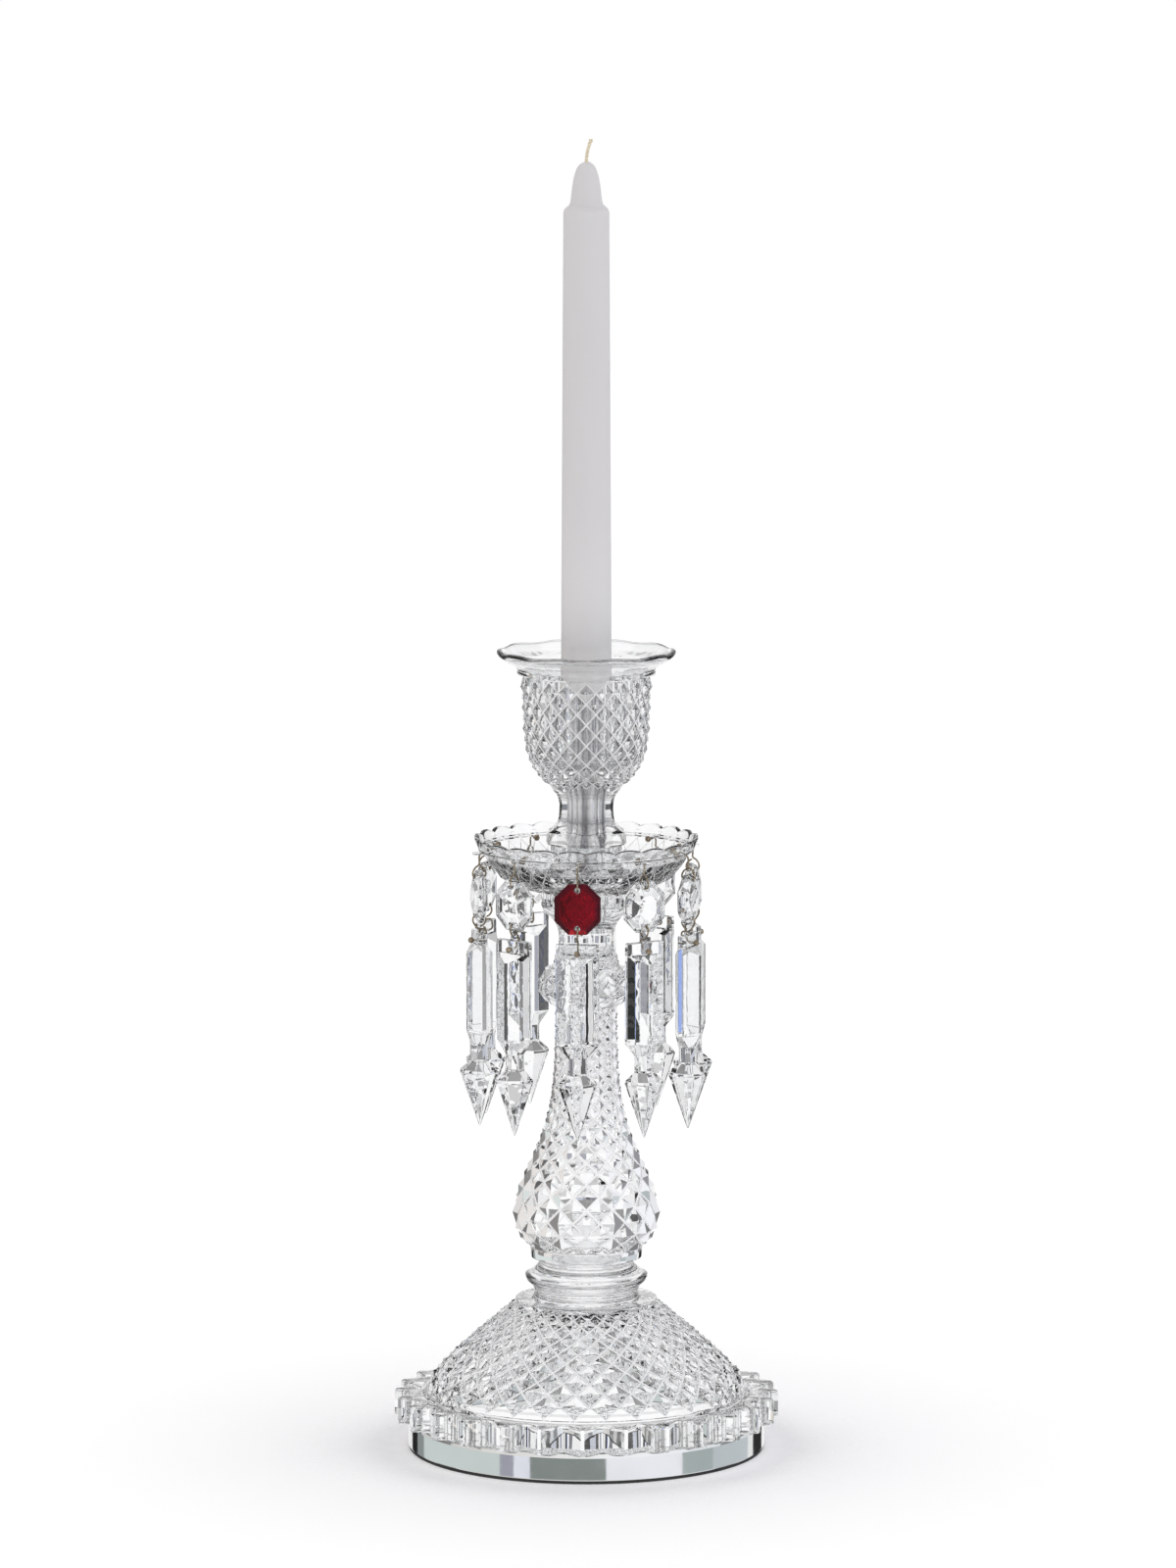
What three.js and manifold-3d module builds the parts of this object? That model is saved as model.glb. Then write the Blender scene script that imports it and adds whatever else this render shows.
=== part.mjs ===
// A cut-crystal pendant candlestick: a domed foot on a metal plinth ring, a diamond-cut stem,
// a drip pan with ten hanging pendants, and a tulip candle cup with its metal socket and candle.
// Millimetres, +Z up. The stem stands on the Z axis, the floor is z = 0 and the front is -Y.

import * as THREE from "three";
import { mergeVertices } from "three/addons/utils/BufferGeometryUtils.js";
import Module from "manifold-3d";

const wasm = await Module();
wasm.setup();

// Driving dimensions, from the floor up
const PAD_HEIGHT = 1.4;
const PAD_INSET = 0.4;
const PLINTH_RADIUS = 83.5;
const PLINTH_HEIGHT = 13;
const PLINTH_WALL = 10;
const PLINTH_EDGE = 0.8;

const SKIRT_RADIUS = 90;
const SKIRT_HEIGHT = 12.4;
const SKIRT_EDGE = 1.2;
const SKIRT_SCOOPS = 28;
const SCOOP_DEPTH = 7;
const RIB_WIDTH = 1.4;
const BEAD_HEIGHT = 1.6;
const DOME_RADIUS = 75;
const DOME_HEIGHT = 42;
const DOME_TOP_RADIUS = 33.8;
const DOME_DIAMONDS = 32;
const DOME_WALL = 10;
const HOLLOW_RADIUS = 66;
const TOP_STEP = 2;

const KNOP_HEIGHT = 19.7;
const KNOP_WAIST_RADIUS = 24.2;
const KNOP_FLANGE_RADIUS = 28.7;
const KNOP_NECK_RADIUS = 21.7;

const COLUMN_DISC_RADIUS = 26.3;
const COLUMN_DISC_HEIGHT = 5.1;
const COLUMN_HEIGHT = 112.8;
const BELLY_RADIUS = 34.8;
const BELLY_HEIGHT = 15.4;
const BELLY_FALL = 34.7;
const COLUMN_NECK_RADIUS = 14.7;
const COLUMN_DIAMONDS = 16;

const BULB_RADIUS = 24.4;
const BULB_HEIGHT = 19;
const BULB_CUTS = 12;
const COLLAR_RADIUS = 13;
const COLLAR_HEIGHT = 10.4;

const RECEIVER_HEIGHT = 26.2;
const RECEIVER_RADIUS = 21.2;
const RECEIVER_BAND = 5;
const RECEIVER_FLUTES = 12;

const PAN_SEAT_RADIUS = 21.5;
const PAN_RADIUS = 52.5;
const PAN_WALL_FOOT = 48.5;
const PAN_WALL_FOOT_HEIGHT = 16;
const PAN_HEIGHT = 25;
const PAN_WALL = 3.6;
const PAN_FLOOR = 6;
const PAN_BOSS_RADIUS = 17.5;
const PAN_BOSS_HEIGHT = 21.6;
const PAN_DIAMONDS = 36;
const PAN_SCALLOPS = 24;
const SCALLOP_DEPTH = 1.6;
const PAN_HOLE_HEIGHT = 18.6;

const CUP_FOOT_RADIUS = 18.7;
const CUP_FOOT_HEIGHT = 4.6;
const CUP_STEM_RADIUS = 12.6;
const CUP_PANELS = 8;
const CUP_STEM_HEIGHT = 26;
const CUP_BODY_RADIUS = 30.4;
const CUP_BODY_HEIGHT = 48.4;
const CUP_BAND_RADIUS = 32.3;
const CUP_BAND_HEIGHT = 3.5;
const CUP_RIM_RADIUS = 41.6;
const CUP_RIM_RISE = 8.4;
const CUP_RIM_EDGE = 2.8;
const CUP_WALL = 3.6;
const CUP_FLOOR = 10;
const CUP_DIAMONDS = 20;
const CUP_RIM_LOBES = 10;
const CUP_RIM_DIP = 0.4;

const SHANK_RADIUS = 5.75;
const SHANK_REACH = 39;
const FERRULE_WALL = 1.1;
const NUT_RADIUS = 9;
const NUT_HEIGHT = 3.7;
const SOCKET_DEPTH = 31;
const SOCKET_WALL = 0.9;
const SOCKET_FLOOR = 2;

const CANDLE_LENGTH = 278.4;
const CANDLE_FOOT_RADIUS = 11.9;
const CANDLE_TOP_RADIUS = 10.6;
const CANDLE_TIP_HEIGHT = 22;
const WICK_RADIUS = 0.8;
const WICK_LENGTH = 10.3;
const WICK_LEAN = 2.6;

const PENDANTS = 10;
const FIRST_PENDANT = -4.5;
const WIRE_RADIUS = 0.45;
const BALL_RADIUS = 1.4;
const WIRE_BEND = 1.2;
const LOOP_HALF_WIDTH = 3.1;
const LOOP_HEIGHT = 6.4;
const STONE_HEIGHT = 23.6;
const STONE_WIDTH = 21.3;
const STONE_THICKNESS = 6.6;
const STONE_EDGE = 1.6;
const STONE_BEVEL = 6.2;
const STONE_CORNER = 6.4;
const STONE_HOLE_RADIUS = 1.45;
const STONE_HOLE_INSET = 3;
const STONE_DROP = 11.5;
const PRISM_GAP = 4.6;
const PRISM_WIDTH = 19.8;
const PRISM_THICKNESS = 12;
const PRISM_EDGE = 2;
const PRISM_RIDGE = 2.4;
const PRISM_BODY = 52.9;
const TAB_THICKNESS = 4.4;
const TAB_HEIGHT = 6;
const TAB_SLOPE = 3.7;
const PRISM_FOOT_SLOPE = 6;
const PRISM_HOLE_INSET = 3.9;
const NECK_WIDTH = 8.6;
const NECK_HEIGHT = 7.8;
const SPEAR_WIDTH = 17.5;
const SPEAR_PANEL = 6.2;
const SPEAR_SHOULDER = 5;
const SPEAR_LENGTH = 26.6;

// What passes through a hole or seats in one keeps this room on every side
const FIT = 0.35;
// How far the cut diamonds stand above the lines between them
const DIAMOND_RISE = 1.5;
const SMALL_RISE = 1.1;
// How many times as high as it is wide a diamond stands
const DOME_SLENDERNESS = 1.6;
const COLUMN_SLENDERNESS = 1.6;
const PAN_SLENDERNESS = 3.2;
const CUP_SLENDERNESS = 1.8;

// Columns of a turned piece: evenly round, or at the given shares of each repeat
const evenly = (count) => Array.from({ length: count }, (_, k) => (2 * Math.PI * k) / count);
const perRepeat = (count, shares) =>
  evenly(count).flatMap((start) => shares.map((share) => start + (2 * Math.PI * share) / count));

// A turned solid from rings [radius, height, cut, shape], listed up the outside and down the inside,
// or from the axis round to the axis. A cut lifts every other vertex along the surface's normal, so that
// diamonds with four faces stand between the rows, and shape(angle) moves a vertex by [radial, up].
function turned(rings, angles) {
  const count = rings.length;
  const grid = rings.map(([radius, height, cut = 0, shape], row) => {
    const [before, after] = [rings[(row + count - 1) % count], rings[(row + 1) % count]];
    const slope = new THREE.Vector2(after[1] - before[1], before[0] - after[0]).normalize();
    return angles.map((angle, column) => {
      const lift = (row + column) % 2 ? cut : 0;
      const [out, up] = shape ? shape(angle) : [0, 0];
      const reach = radius === 0 ? 0 : radius + out + slope.x * lift;
      const top = height + up + slope.y * lift;
      return new THREE.Vector3(reach * Math.cos(angle), reach * Math.sin(angle), top);
    });
  });
  const corners = [];
  const face = (...points) => {
    const [a, b, c] = points;
    if (a.distanceTo(b) > 1e-6 && b.distanceTo(c) > 1e-6 && c.distanceTo(a) > 1e-6) corners.push(...points);
  };
  for (let row = 0; row < count; row++) {
    const [low, high] = [grid[row], grid[(row + 1) % count]];
    for (let column = 0; column < angles.length; column++) {
      const next = (column + 1) % angles.length;
      const [a, b, c, d] = [low[column], low[next], high[next], high[column]];
      if ((row + column) % 2 === 0) {
        face(a, b, c);
        face(a, c, d);
      } else {
        face(a, b, d);
        face(b, c, d);
      }
    }
  }
  return new THREE.BufferGeometry().setFromPoints(corners);
}

// Rings along an outline, as half rows of diamonds whose height keeps step with the radius.
// The outline is a function of 0 to 1 that gives [radius, height].
function diamondRows(outline, diamonds, rise, slenderness = 1) {
  const steps = 200;
  const points = Array.from({ length: steps + 1 }, (_, i) => outline(i / steps));
  const turns = [0];
  for (let i = 1; i <= steps; i++) {
    const [[r0, z0], [r1, z1]] = [points[i - 1], points[i]];
    turns.push(turns[i - 1] + (2 * Math.hypot(r1 - r0, z1 - z0)) / (r0 + r1));
  }
  const rows = Math.max(2, Math.round((turns[steps] * diamonds) / (Math.PI * slenderness)));
  return Array.from({ length: rows + 1 }, (_, row) => {
    const target = (turns[steps] * row) / rows;
    const at = row === rows ? steps : turns.findIndex((turn) => turn >= target);
    return [...points[at], row === 0 || row === rows ? 0 : rise];
  });
}

// An outline through a few points, and one bent by a single control point
const through = (...points) => {
  const curve = new THREE.SplineCurve(points.map(([r, z]) => new THREE.Vector2(r, z)));
  return (t) => curve.getPoint(t).toArray();
};
const bent = (from, control, to) => {
  const ends = [from, control, to].map(([r, z]) => new THREE.Vector2(r, z));
  const curve = new THREE.QuadraticBezierCurve(...ends);
  return (t) => curve.getPoint(t).toArray();
};
const along = (outline, steps) => Array.from({ length: steps + 1 }, (_, i) => outline(i / steps));

// A round wire through points in the XZ plane, with the radius it has at each point
function wire(path, sides = 4) {
  const corners = [];
  const rings = path.map(([x, z, radius], i) => {
    const [before, after] = [path[Math.max(i - 1, 0)], path[Math.min(i + 1, path.length - 1)]];
    const ahead = new THREE.Vector2(after[0] - before[0], after[1] - before[1]).normalize();
    return Array.from({ length: sides }, (_, k) => {
      const turn = (2 * Math.PI * (k + 0.5)) / sides;
      const across = radius * Math.cos(turn);
      return new THREE.Vector3(x - across * ahead.y, radius * Math.sin(turn), z + across * ahead.x);
    });
  });
  for (let i = 0; i + 1 < rings.length; i++) {
    for (let k = 0; k < sides; k++) {
      const next = (k + 1) % sides;
      corners.push(rings[i][k], rings[i + 1][k], rings[i + 1][next]);
      corners.push(rings[i][k], rings[i + 1][next], rings[i][next]);
    }
  }
  const last = rings[rings.length - 1];
  for (let k = 1; k + 1 < sides; k++) {
    corners.push(rings[0][0], rings[0][k], rings[0][k + 1]);
    corners.push(last[0], last[k + 1], last[k]);
  }
  return new THREE.BufferGeometry().setFromPoints(corners);
}

// A cut stone lofted through level sections, each a list of [x, y] corners at a height
function lofted(sections) {
  const corners = [];
  const rings = sections.map(([height, points]) => points.map(([x, y]) => new THREE.Vector3(x, y, height)));
  for (let i = 0; i + 1 < rings.length; i++) {
    const [low, high] = [rings[i], rings[i + 1]];
    for (let k = 0; k < low.length; k++) {
      const next = (k + 1) % low.length;
      const mirrored = k % 2 === 1;
      if (mirrored) corners.push(low[k], low[next], high[k], low[next], high[next], high[k]);
      else corners.push(low[k], low[next], high[next], low[k], high[next], high[k]);
    }
  }
  const [floor, roof] = [rings[0], rings[rings.length - 1]];
  for (let k = 1; k + 1 < floor.length; k++) {
    corners.push(floor[0], floor[k + 1], floor[k]);
    corners.push(roof[0], roof[k], roof[k + 1]);
  }
  return new THREE.BufferGeometry().setFromPoints(corners);
}

// Joins and cuts
function solid(geometry) {
  const bare = geometry.index ? geometry.toNonIndexed() : geometry.clone();
  bare.deleteAttribute("normal");
  bare.deleteAttribute("uv");
  const merged = mergeVertices(bare, 1e-4);
  return new wasm.Manifold(
    new wasm.Mesh({
      numProp: 3,
      vertProperties: new Float32Array(merged.attributes.position.array),
      triVerts: new Uint32Array(merged.index.array),
    }),
  );
}
function geometryOf(made) {
  const mesh = made.getMesh();
  const geometry = new THREE.BufferGeometry();
  geometry.setAttribute("position", new THREE.BufferAttribute(new Float32Array(mesh.vertProperties), 3));
  geometry.setIndex(new THREE.BufferAttribute(new Uint32Array(mesh.triVerts), 1));
  return geometry;
}
const cut = (body, ...tools) =>
  geometryOf(tools.reduce((rest, tool) => rest.subtract(solid(tool)), solid(body)));
const join = (...bodies) => geometryOf(bodies.map(solid).reduce((sum, body) => sum.add(body)));

// A drill for a round hole along X, centred at a height
function drill(radius, length, height, x = 0, sides = 6) {
  const rod = new THREE.CylinderGeometry(radius, radius, length, sides);
  return rod.rotateZ(Math.PI / 2).translate(x, 0, height);
}

// Finishes
const finish = (name, color, roughness, metalness = 0) => {
  const made = new THREE.MeshStandardMaterial({ color, roughness, metalness });
  made.name = name;
  return () => made.clone();
};
const crystal = finish("crystal", 0xe9eeef, 0.03);
const redCrystal = finish("red crystal", 0xc8142a, 0.03);
const nickel = finish("polished nickel", 0xc9ccc6, 0.12, 1);
const agedWire = finish("aged wire", 0x786b58, 0.4, 1);
const wax = finish("wax", 0xdedcd6, 0.6);
const cotton = finish("cotton", 0xd8cfae, 0.9);
const rubber = finish("black rubber", 0x1c1c1c, 0.8);

const candlestick = new THREE.Group();
function place(name, geometry, material, parent = candlestick, height = 0) {
  geometry.computeVertexNormals();
  const mesh = new THREE.Mesh(geometry, material());
  mesh.name = name;
  mesh.position.z = height;
  parent.add(mesh);
  return mesh;
}

// Heights of the joints between the pieces, worked out from the floor up
const plinthLevel = PAD_HEIGHT;
const footLevel = plinthLevel + PLINTH_HEIGHT;
const knopLevel = footLevel + SKIRT_HEIGHT + DOME_HEIGHT + TOP_STEP;
const columnLevel = knopLevel + KNOP_HEIGHT;
const bulbLevel = columnLevel + COLUMN_DISC_HEIGHT + COLUMN_HEIGHT;
const receiverLevel = bulbLevel + BULB_HEIGHT + COLLAR_HEIGHT;
const panLevel = receiverLevel + RECEIVER_HEIGHT;
const cupLevel = panLevel + PAN_BOSS_HEIGHT;
const cupFloorLevel = cupLevel + CUP_STEM_HEIGHT + CUP_FLOOR;
const candleLevel = cupFloorLevel + SOCKET_FLOOR;
const holeLevel = panLevel + PAN_HOLE_HEIGHT;

// Plinth: a rubber ring under a polished metal ring
{
  const [outer, inner] = [PLINTH_RADIUS, PLINTH_RADIUS - PLINTH_WALL];
  const pad = turned(
    [
      [inner + PAD_INSET, 0],
      [outer - PAD_INSET, 0],
      [outer - PAD_INSET, PAD_HEIGHT],
      [inner + PAD_INSET, PAD_HEIGHT],
    ],
    evenly(24),
  );
  place("plinth_pad", pad, rubber);
  const ring = turned(
    [
      [inner, 0],
      [outer - PLINTH_EDGE, 0],
      [outer, PLINTH_EDGE],
      [outer, PLINTH_HEIGHT - PLINTH_EDGE],
      [outer - PLINTH_EDGE, PLINTH_HEIGHT],
      [inner, PLINTH_HEIGHT],
    ],
    evenly(36),
  );
  place("plinth_ring", ring, nickel, candlestick, plinthLevel);
}

// Foot: a hollow diamond-cut dome with a bead round it, on a skirt whose edge is scooped out between ribs
{
  const rib = -Math.PI / 2 + THREE.MathUtils.degToRad(-1.1);
  const pitch = (2 * Math.PI * SKIRT_RADIUS) / SKIRT_SCOOPS;
  const ribShare = RIB_WIDTH / 2 / pitch;
  const shares = [ribShare, 0.15, 0.32, 0.5, 0.68, 0.85, 1 - ribShare];
  const columns = perRepeat(SKIRT_SCOOPS, shares).map((angle) => angle + rib);
  const halfScoop = (pitch - RIB_WIDTH) / 2;
  const scoopRadius = (halfScoop ** 2 + SCOOP_DEPTH ** 2) / (2 * SCOOP_DEPTH);
  const scoop = (angle) => {
    const share = ((((angle - rib) * SKIRT_SCOOPS) / (2 * Math.PI)) % 1 + 1) % 1;
    const off = Math.min(Math.abs(share - 0.5) * pitch, halfScoop);
    return [-(Math.sqrt(scoopRadius ** 2 - off ** 2) - scoopRadius + SCOOP_DEPTH), 0];
  };
  const skirt = turned(
    [
      [0, 0],
      [SKIRT_RADIUS - SKIRT_EDGE, 0, 0, scoop],
      [SKIRT_RADIUS, SKIRT_EDGE, 0, scoop],
      [SKIRT_RADIUS, SKIRT_HEIGHT - SKIRT_EDGE, 0, scoop],
      [SKIRT_RADIUS - SKIRT_EDGE, SKIRT_HEIGHT, 0, scoop],
      [0, SKIRT_HEIGHT],
    ],
    columns,
  );
  const spring = SKIRT_HEIGHT + BEAD_HEIGHT;
  const crown = SKIRT_HEIGHT + DOME_HEIGHT;
  const curve = bent([DOME_RADIUS - 1, spring], [DOME_RADIUS - 4, spring + 8], [DOME_TOP_RADIUS, crown]);
  const dome = turned(
    [
      [0, SKIRT_HEIGHT - SKIRT_EDGE],
      [DOME_RADIUS + 1, SKIRT_HEIGHT - SKIRT_EDGE],
      [DOME_RADIUS + 1, spring - 0.5],
      ...diamondRows(curve, DOME_DIAMONDS, DIAMOND_RISE, DOME_SLENDERNESS),
      [DOME_TOP_RADIUS, crown + TOP_STEP],
      [0, crown + TOP_STEP],
    ],
    evenly(2 * DOME_DIAMONDS).map((angle) => angle - Math.PI / 2 + THREE.MathUtils.degToRad(-4.1)),
  );
  const hollowTop = crown - DOME_WALL;
  const ceiling = bent(
    [HOLLOW_RADIUS - 3, SKIRT_HEIGHT],
    [HOLLOW_RADIUS - 8, spring + 6],
    [DOME_TOP_RADIUS - 8, hollowTop],
  );
  const hollow = turned(
    [
      [0, -1],
      [HOLLOW_RADIUS, -1],
      [HOLLOW_RADIUS, 1],
      ...along(ceiling, 3),
      [0, hollowTop],
    ],
    evenly(24),
  );
  place("foot", cut(join(skirt, dome), hollow), crystal, candlestick, footLevel);
}

// Base knop: a smooth waist, a sharp flange with a hollow top, and a second waist
{
  const flange = KNOP_HEIGHT * 0.58;
  const swell = bent([KNOP_WAIST_RADIUS + 1.5, 6], [KNOP_FLANGE_RADIUS, 7.5], [KNOP_FLANGE_RADIUS, flange]);
  const knop = turned(
    [
      [0, 0],
      [KNOP_WAIST_RADIUS + 1.4, 0],
      [KNOP_WAIST_RADIUS, 2.4],
      ...along(swell, 3),
      [KNOP_FLANGE_RADIUS - 3.6, flange + 1.6],
      [KNOP_NECK_RADIUS + 1.8, flange + 4],
      [KNOP_NECK_RADIUS, flange + 6.4],
      [KNOP_NECK_RADIUS + 1.6, KNOP_HEIGHT],
      [0, KNOP_HEIGHT],
    ],
    evenly(24),
  );
  place("base_knop", knop, crystal, candlestick, knopLevel);
}

// Stem: a smooth disc under a diamond-cut baluster, whose belly falls away to a slim neck
{
  const footRadius = COLUMN_DISC_RADIUS + 0.8;
  const outline = (t) => {
    const height = t * COLUMN_HEIGHT;
    const above = height - BELLY_HEIGHT;
    const fall = Math.exp(-((Math.max(above, 0) / BELLY_FALL) ** 1.75));
    const reach =
      above < 0
        ? BELLY_RADIUS - (BELLY_RADIUS - footRadius) * Math.abs(above / BELLY_HEIGHT) ** 3
        : COLUMN_NECK_RADIUS + (BELLY_RADIUS - COLUMN_NECK_RADIUS) * fall;
    return [reach - DIAMOND_RISE / 2, COLUMN_DISC_HEIGHT + height];
  };
  const baluster = turned(
    [
      [0, 0],
      [COLUMN_DISC_RADIUS - 0.8, 0],
      [COLUMN_DISC_RADIUS, 0.8],
      [COLUMN_DISC_RADIUS, COLUMN_DISC_HEIGHT - 0.6],
      ...diamondRows(outline, COLUMN_DIAMONDS, DIAMOND_RISE, COLUMN_SLENDERNESS),
      [0, COLUMN_DISC_HEIGHT + COLUMN_HEIGHT],
    ],
    evenly(2 * COLUMN_DIAMONDS).map((angle) => angle - Math.PI / 2),
  );
  place("baluster", baluster, crystal, candlestick, columnLevel);
}

// Upper knop: a bulb with large leaf cuts and a slim cut collar
{
  const bulb = through(
    [COLUMN_NECK_RADIUS, 0.8],
    [BULB_RADIUS - 3, 5.4],
    [BULB_RADIUS - 1.2, BULB_HEIGHT * 0.62],
    [BULB_RADIUS - 4.5, BULB_HEIGHT - 0.8],
  );
  const knop = turned(
    [
      [0, 0],
      [COLUMN_NECK_RADIUS - 0.6, 0],
      ...diamondRows(bulb, BULB_CUTS, SMALL_RISE + 0.4, 1.2),
      [COLUMN_NECK_RADIUS + 1.4, BULB_HEIGHT + 1],
      [COLUMN_NECK_RADIUS, BULB_HEIGHT + COLLAR_HEIGHT * 0.3, SMALL_RISE],
      [COLUMN_NECK_RADIUS - 0.6, BULB_HEIGHT + COLLAR_HEIGHT * 0.6],
      [COLLAR_RADIUS, BULB_HEIGHT + COLLAR_HEIGHT],
      [0, BULB_HEIGHT + COLLAR_HEIGHT],
    ],
    evenly(2 * BULB_CUTS).map((angle) => angle - Math.PI / 2),
  );
  place("upper_knop", knop, crystal, candlestick, bulbLevel);
}

// Receiver: a smooth trumpet with a fluted band at its mouth, bored for the shank and its ferrule
const ferruleRadius = SHANK_RADIUS + FIT + FERRULE_WALL;
const boreDepth = SHANK_REACH - PAN_BOSS_HEIGHT + 2;
{
  const flute = (angle) => [-0.5 + 0.5 * Math.cos(RECEIVER_FLUTES * angle), 0];
  const band = RECEIVER_HEIGHT - RECEIVER_BAND;
  const bore = ferruleRadius + FIT;
  const trumpet = bent(
    [COLLAR_RADIUS + 1, band - 10.5],
    [COLLAR_RADIUS + 2, band - 5],
    [RECEIVER_RADIUS - 1.4, band - 4],
  );
  const receiver = turned(
    [
      [0, 0],
      [COLLAR_RADIUS, 0],
      [COLLAR_RADIUS, RECEIVER_HEIGHT * 0.28],
      ...along(trumpet, 3),
      [RECEIVER_RADIUS, band - 2.4],
      [RECEIVER_RADIUS - 0.6, band],
      [RECEIVER_RADIUS, band + 0.5, 0, flute],
      [RECEIVER_RADIUS, RECEIVER_HEIGHT, 0, flute],
      [bore, RECEIVER_HEIGHT],
      [bore, RECEIVER_HEIGHT - boreDepth],
      [0, RECEIVER_HEIGHT - boreDepth],
    ],
    evenly(2 * RECEIVER_FLUTES),
  );
  place("receiver", receiver, crystal, candlestick, receiverLevel);
  const ferrule = turned(
    [
      [SHANK_RADIUS + FIT, 0],
      [ferruleRadius, 0],
      [ferruleRadius, boreDepth - FIT],
      [SHANK_RADIUS + FIT, boreDepth - FIT],
    ],
    evenly(12),
  );
  place("ferrule", ferrule, nickel, candlestick, panLevel - boreDepth);
}

// Drip pan: a diamond-cut dish with a scalloped rim, a boss for the cup and a hole for each pendant
const panWallAtHole = (() => {
  const share = (PAN_HOLE_HEIGHT - PAN_WALL_FOOT_HEIGHT) / (PAN_HEIGHT - PAN_WALL_FOOT_HEIGHT);
  return PAN_WALL_FOOT + (PAN_RADIUS - PAN_WALL_FOOT) * Math.sin((share * Math.PI) / 2);
})();
const pendantAngles = Array.from({ length: PENDANTS }, (_, k) => FIRST_PENDANT + (360 * k) / PENDANTS - 90);
{
  const scallop = (angle) => {
    const share = ((((angle * PAN_SCALLOPS) / (2 * Math.PI)) % 1) + 1) % 1;
    const dip = Math.abs(2 * share - 1) ** 2;
    return [-0.4 * SCALLOP_DEPTH * dip, -SCALLOP_DEPTH * dip];
  };
  const wall = (t) => [
    PAN_WALL_FOOT + (PAN_RADIUS - PAN_WALL_FOOT) * Math.sin((t * Math.PI) / 2),
    PAN_WALL_FOOT_HEIGHT + (PAN_HEIGHT - PAN_WALL_FOOT_HEIGHT) * t,
  ];
  const under = bent(
    [PAN_SEAT_RADIUS, 0],
    [PAN_WALL_FOOT - 6, 1.5],
    [PAN_WALL_FOOT - 1, PAN_WALL_FOOT_HEIGHT - 1.5],
  );
  const dish = turned(
    [
      [PAN_BOSS_RADIUS - 2, 0],
      ...diamondRows(under, PAN_DIAMONDS, SMALL_RISE, PAN_SLENDERNESS),
      wall(0),
      [...wall(1), 0, scallop],
      [PAN_RADIUS - PAN_WALL, PAN_HEIGHT, 0, scallop],
      [PAN_WALL_FOOT - PAN_WALL, PAN_WALL_FOOT_HEIGHT],
      [PAN_BOSS_RADIUS + 9, PAN_FLOOR + 1],
      [PAN_BOSS_RADIUS - 2, PAN_FLOOR],
    ],
    perRepeat(PAN_SCALLOPS, [0, 0.3, 0.7]),
  );
  const bore = SHANK_RADIUS + 2 * FIT;
  const recess = NUT_RADIUS + 2 * FIT;
  const recessFloor = PAN_BOSS_HEIGHT - NUT_HEIGHT - 2 * FIT;
  const boss = turned(
    [
      [bore, 0],
      [PAN_BOSS_RADIUS, 0],
      [PAN_BOSS_RADIUS, PAN_FLOOR],
      [PAN_BOSS_RADIUS - 1, PAN_BOSS_HEIGHT],
      [recess, PAN_BOSS_HEIGHT],
      [recess, recessFloor],
      [bore, recessFloor],
    ],
    evenly(16),
  );
  const holes = pendantAngles.map((degrees) => {
    const hole = drill(WIRE_RADIUS + FIT, 4 * PAN_WALL, PAN_HOLE_HEIGHT, panWallAtHole);
    return hole.rotateZ(THREE.MathUtils.degToRad(degrees));
  });
  place("bobeche", cut(join(dish, boss), ...holes), crystal, candlestick, panLevel);
}

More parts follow.
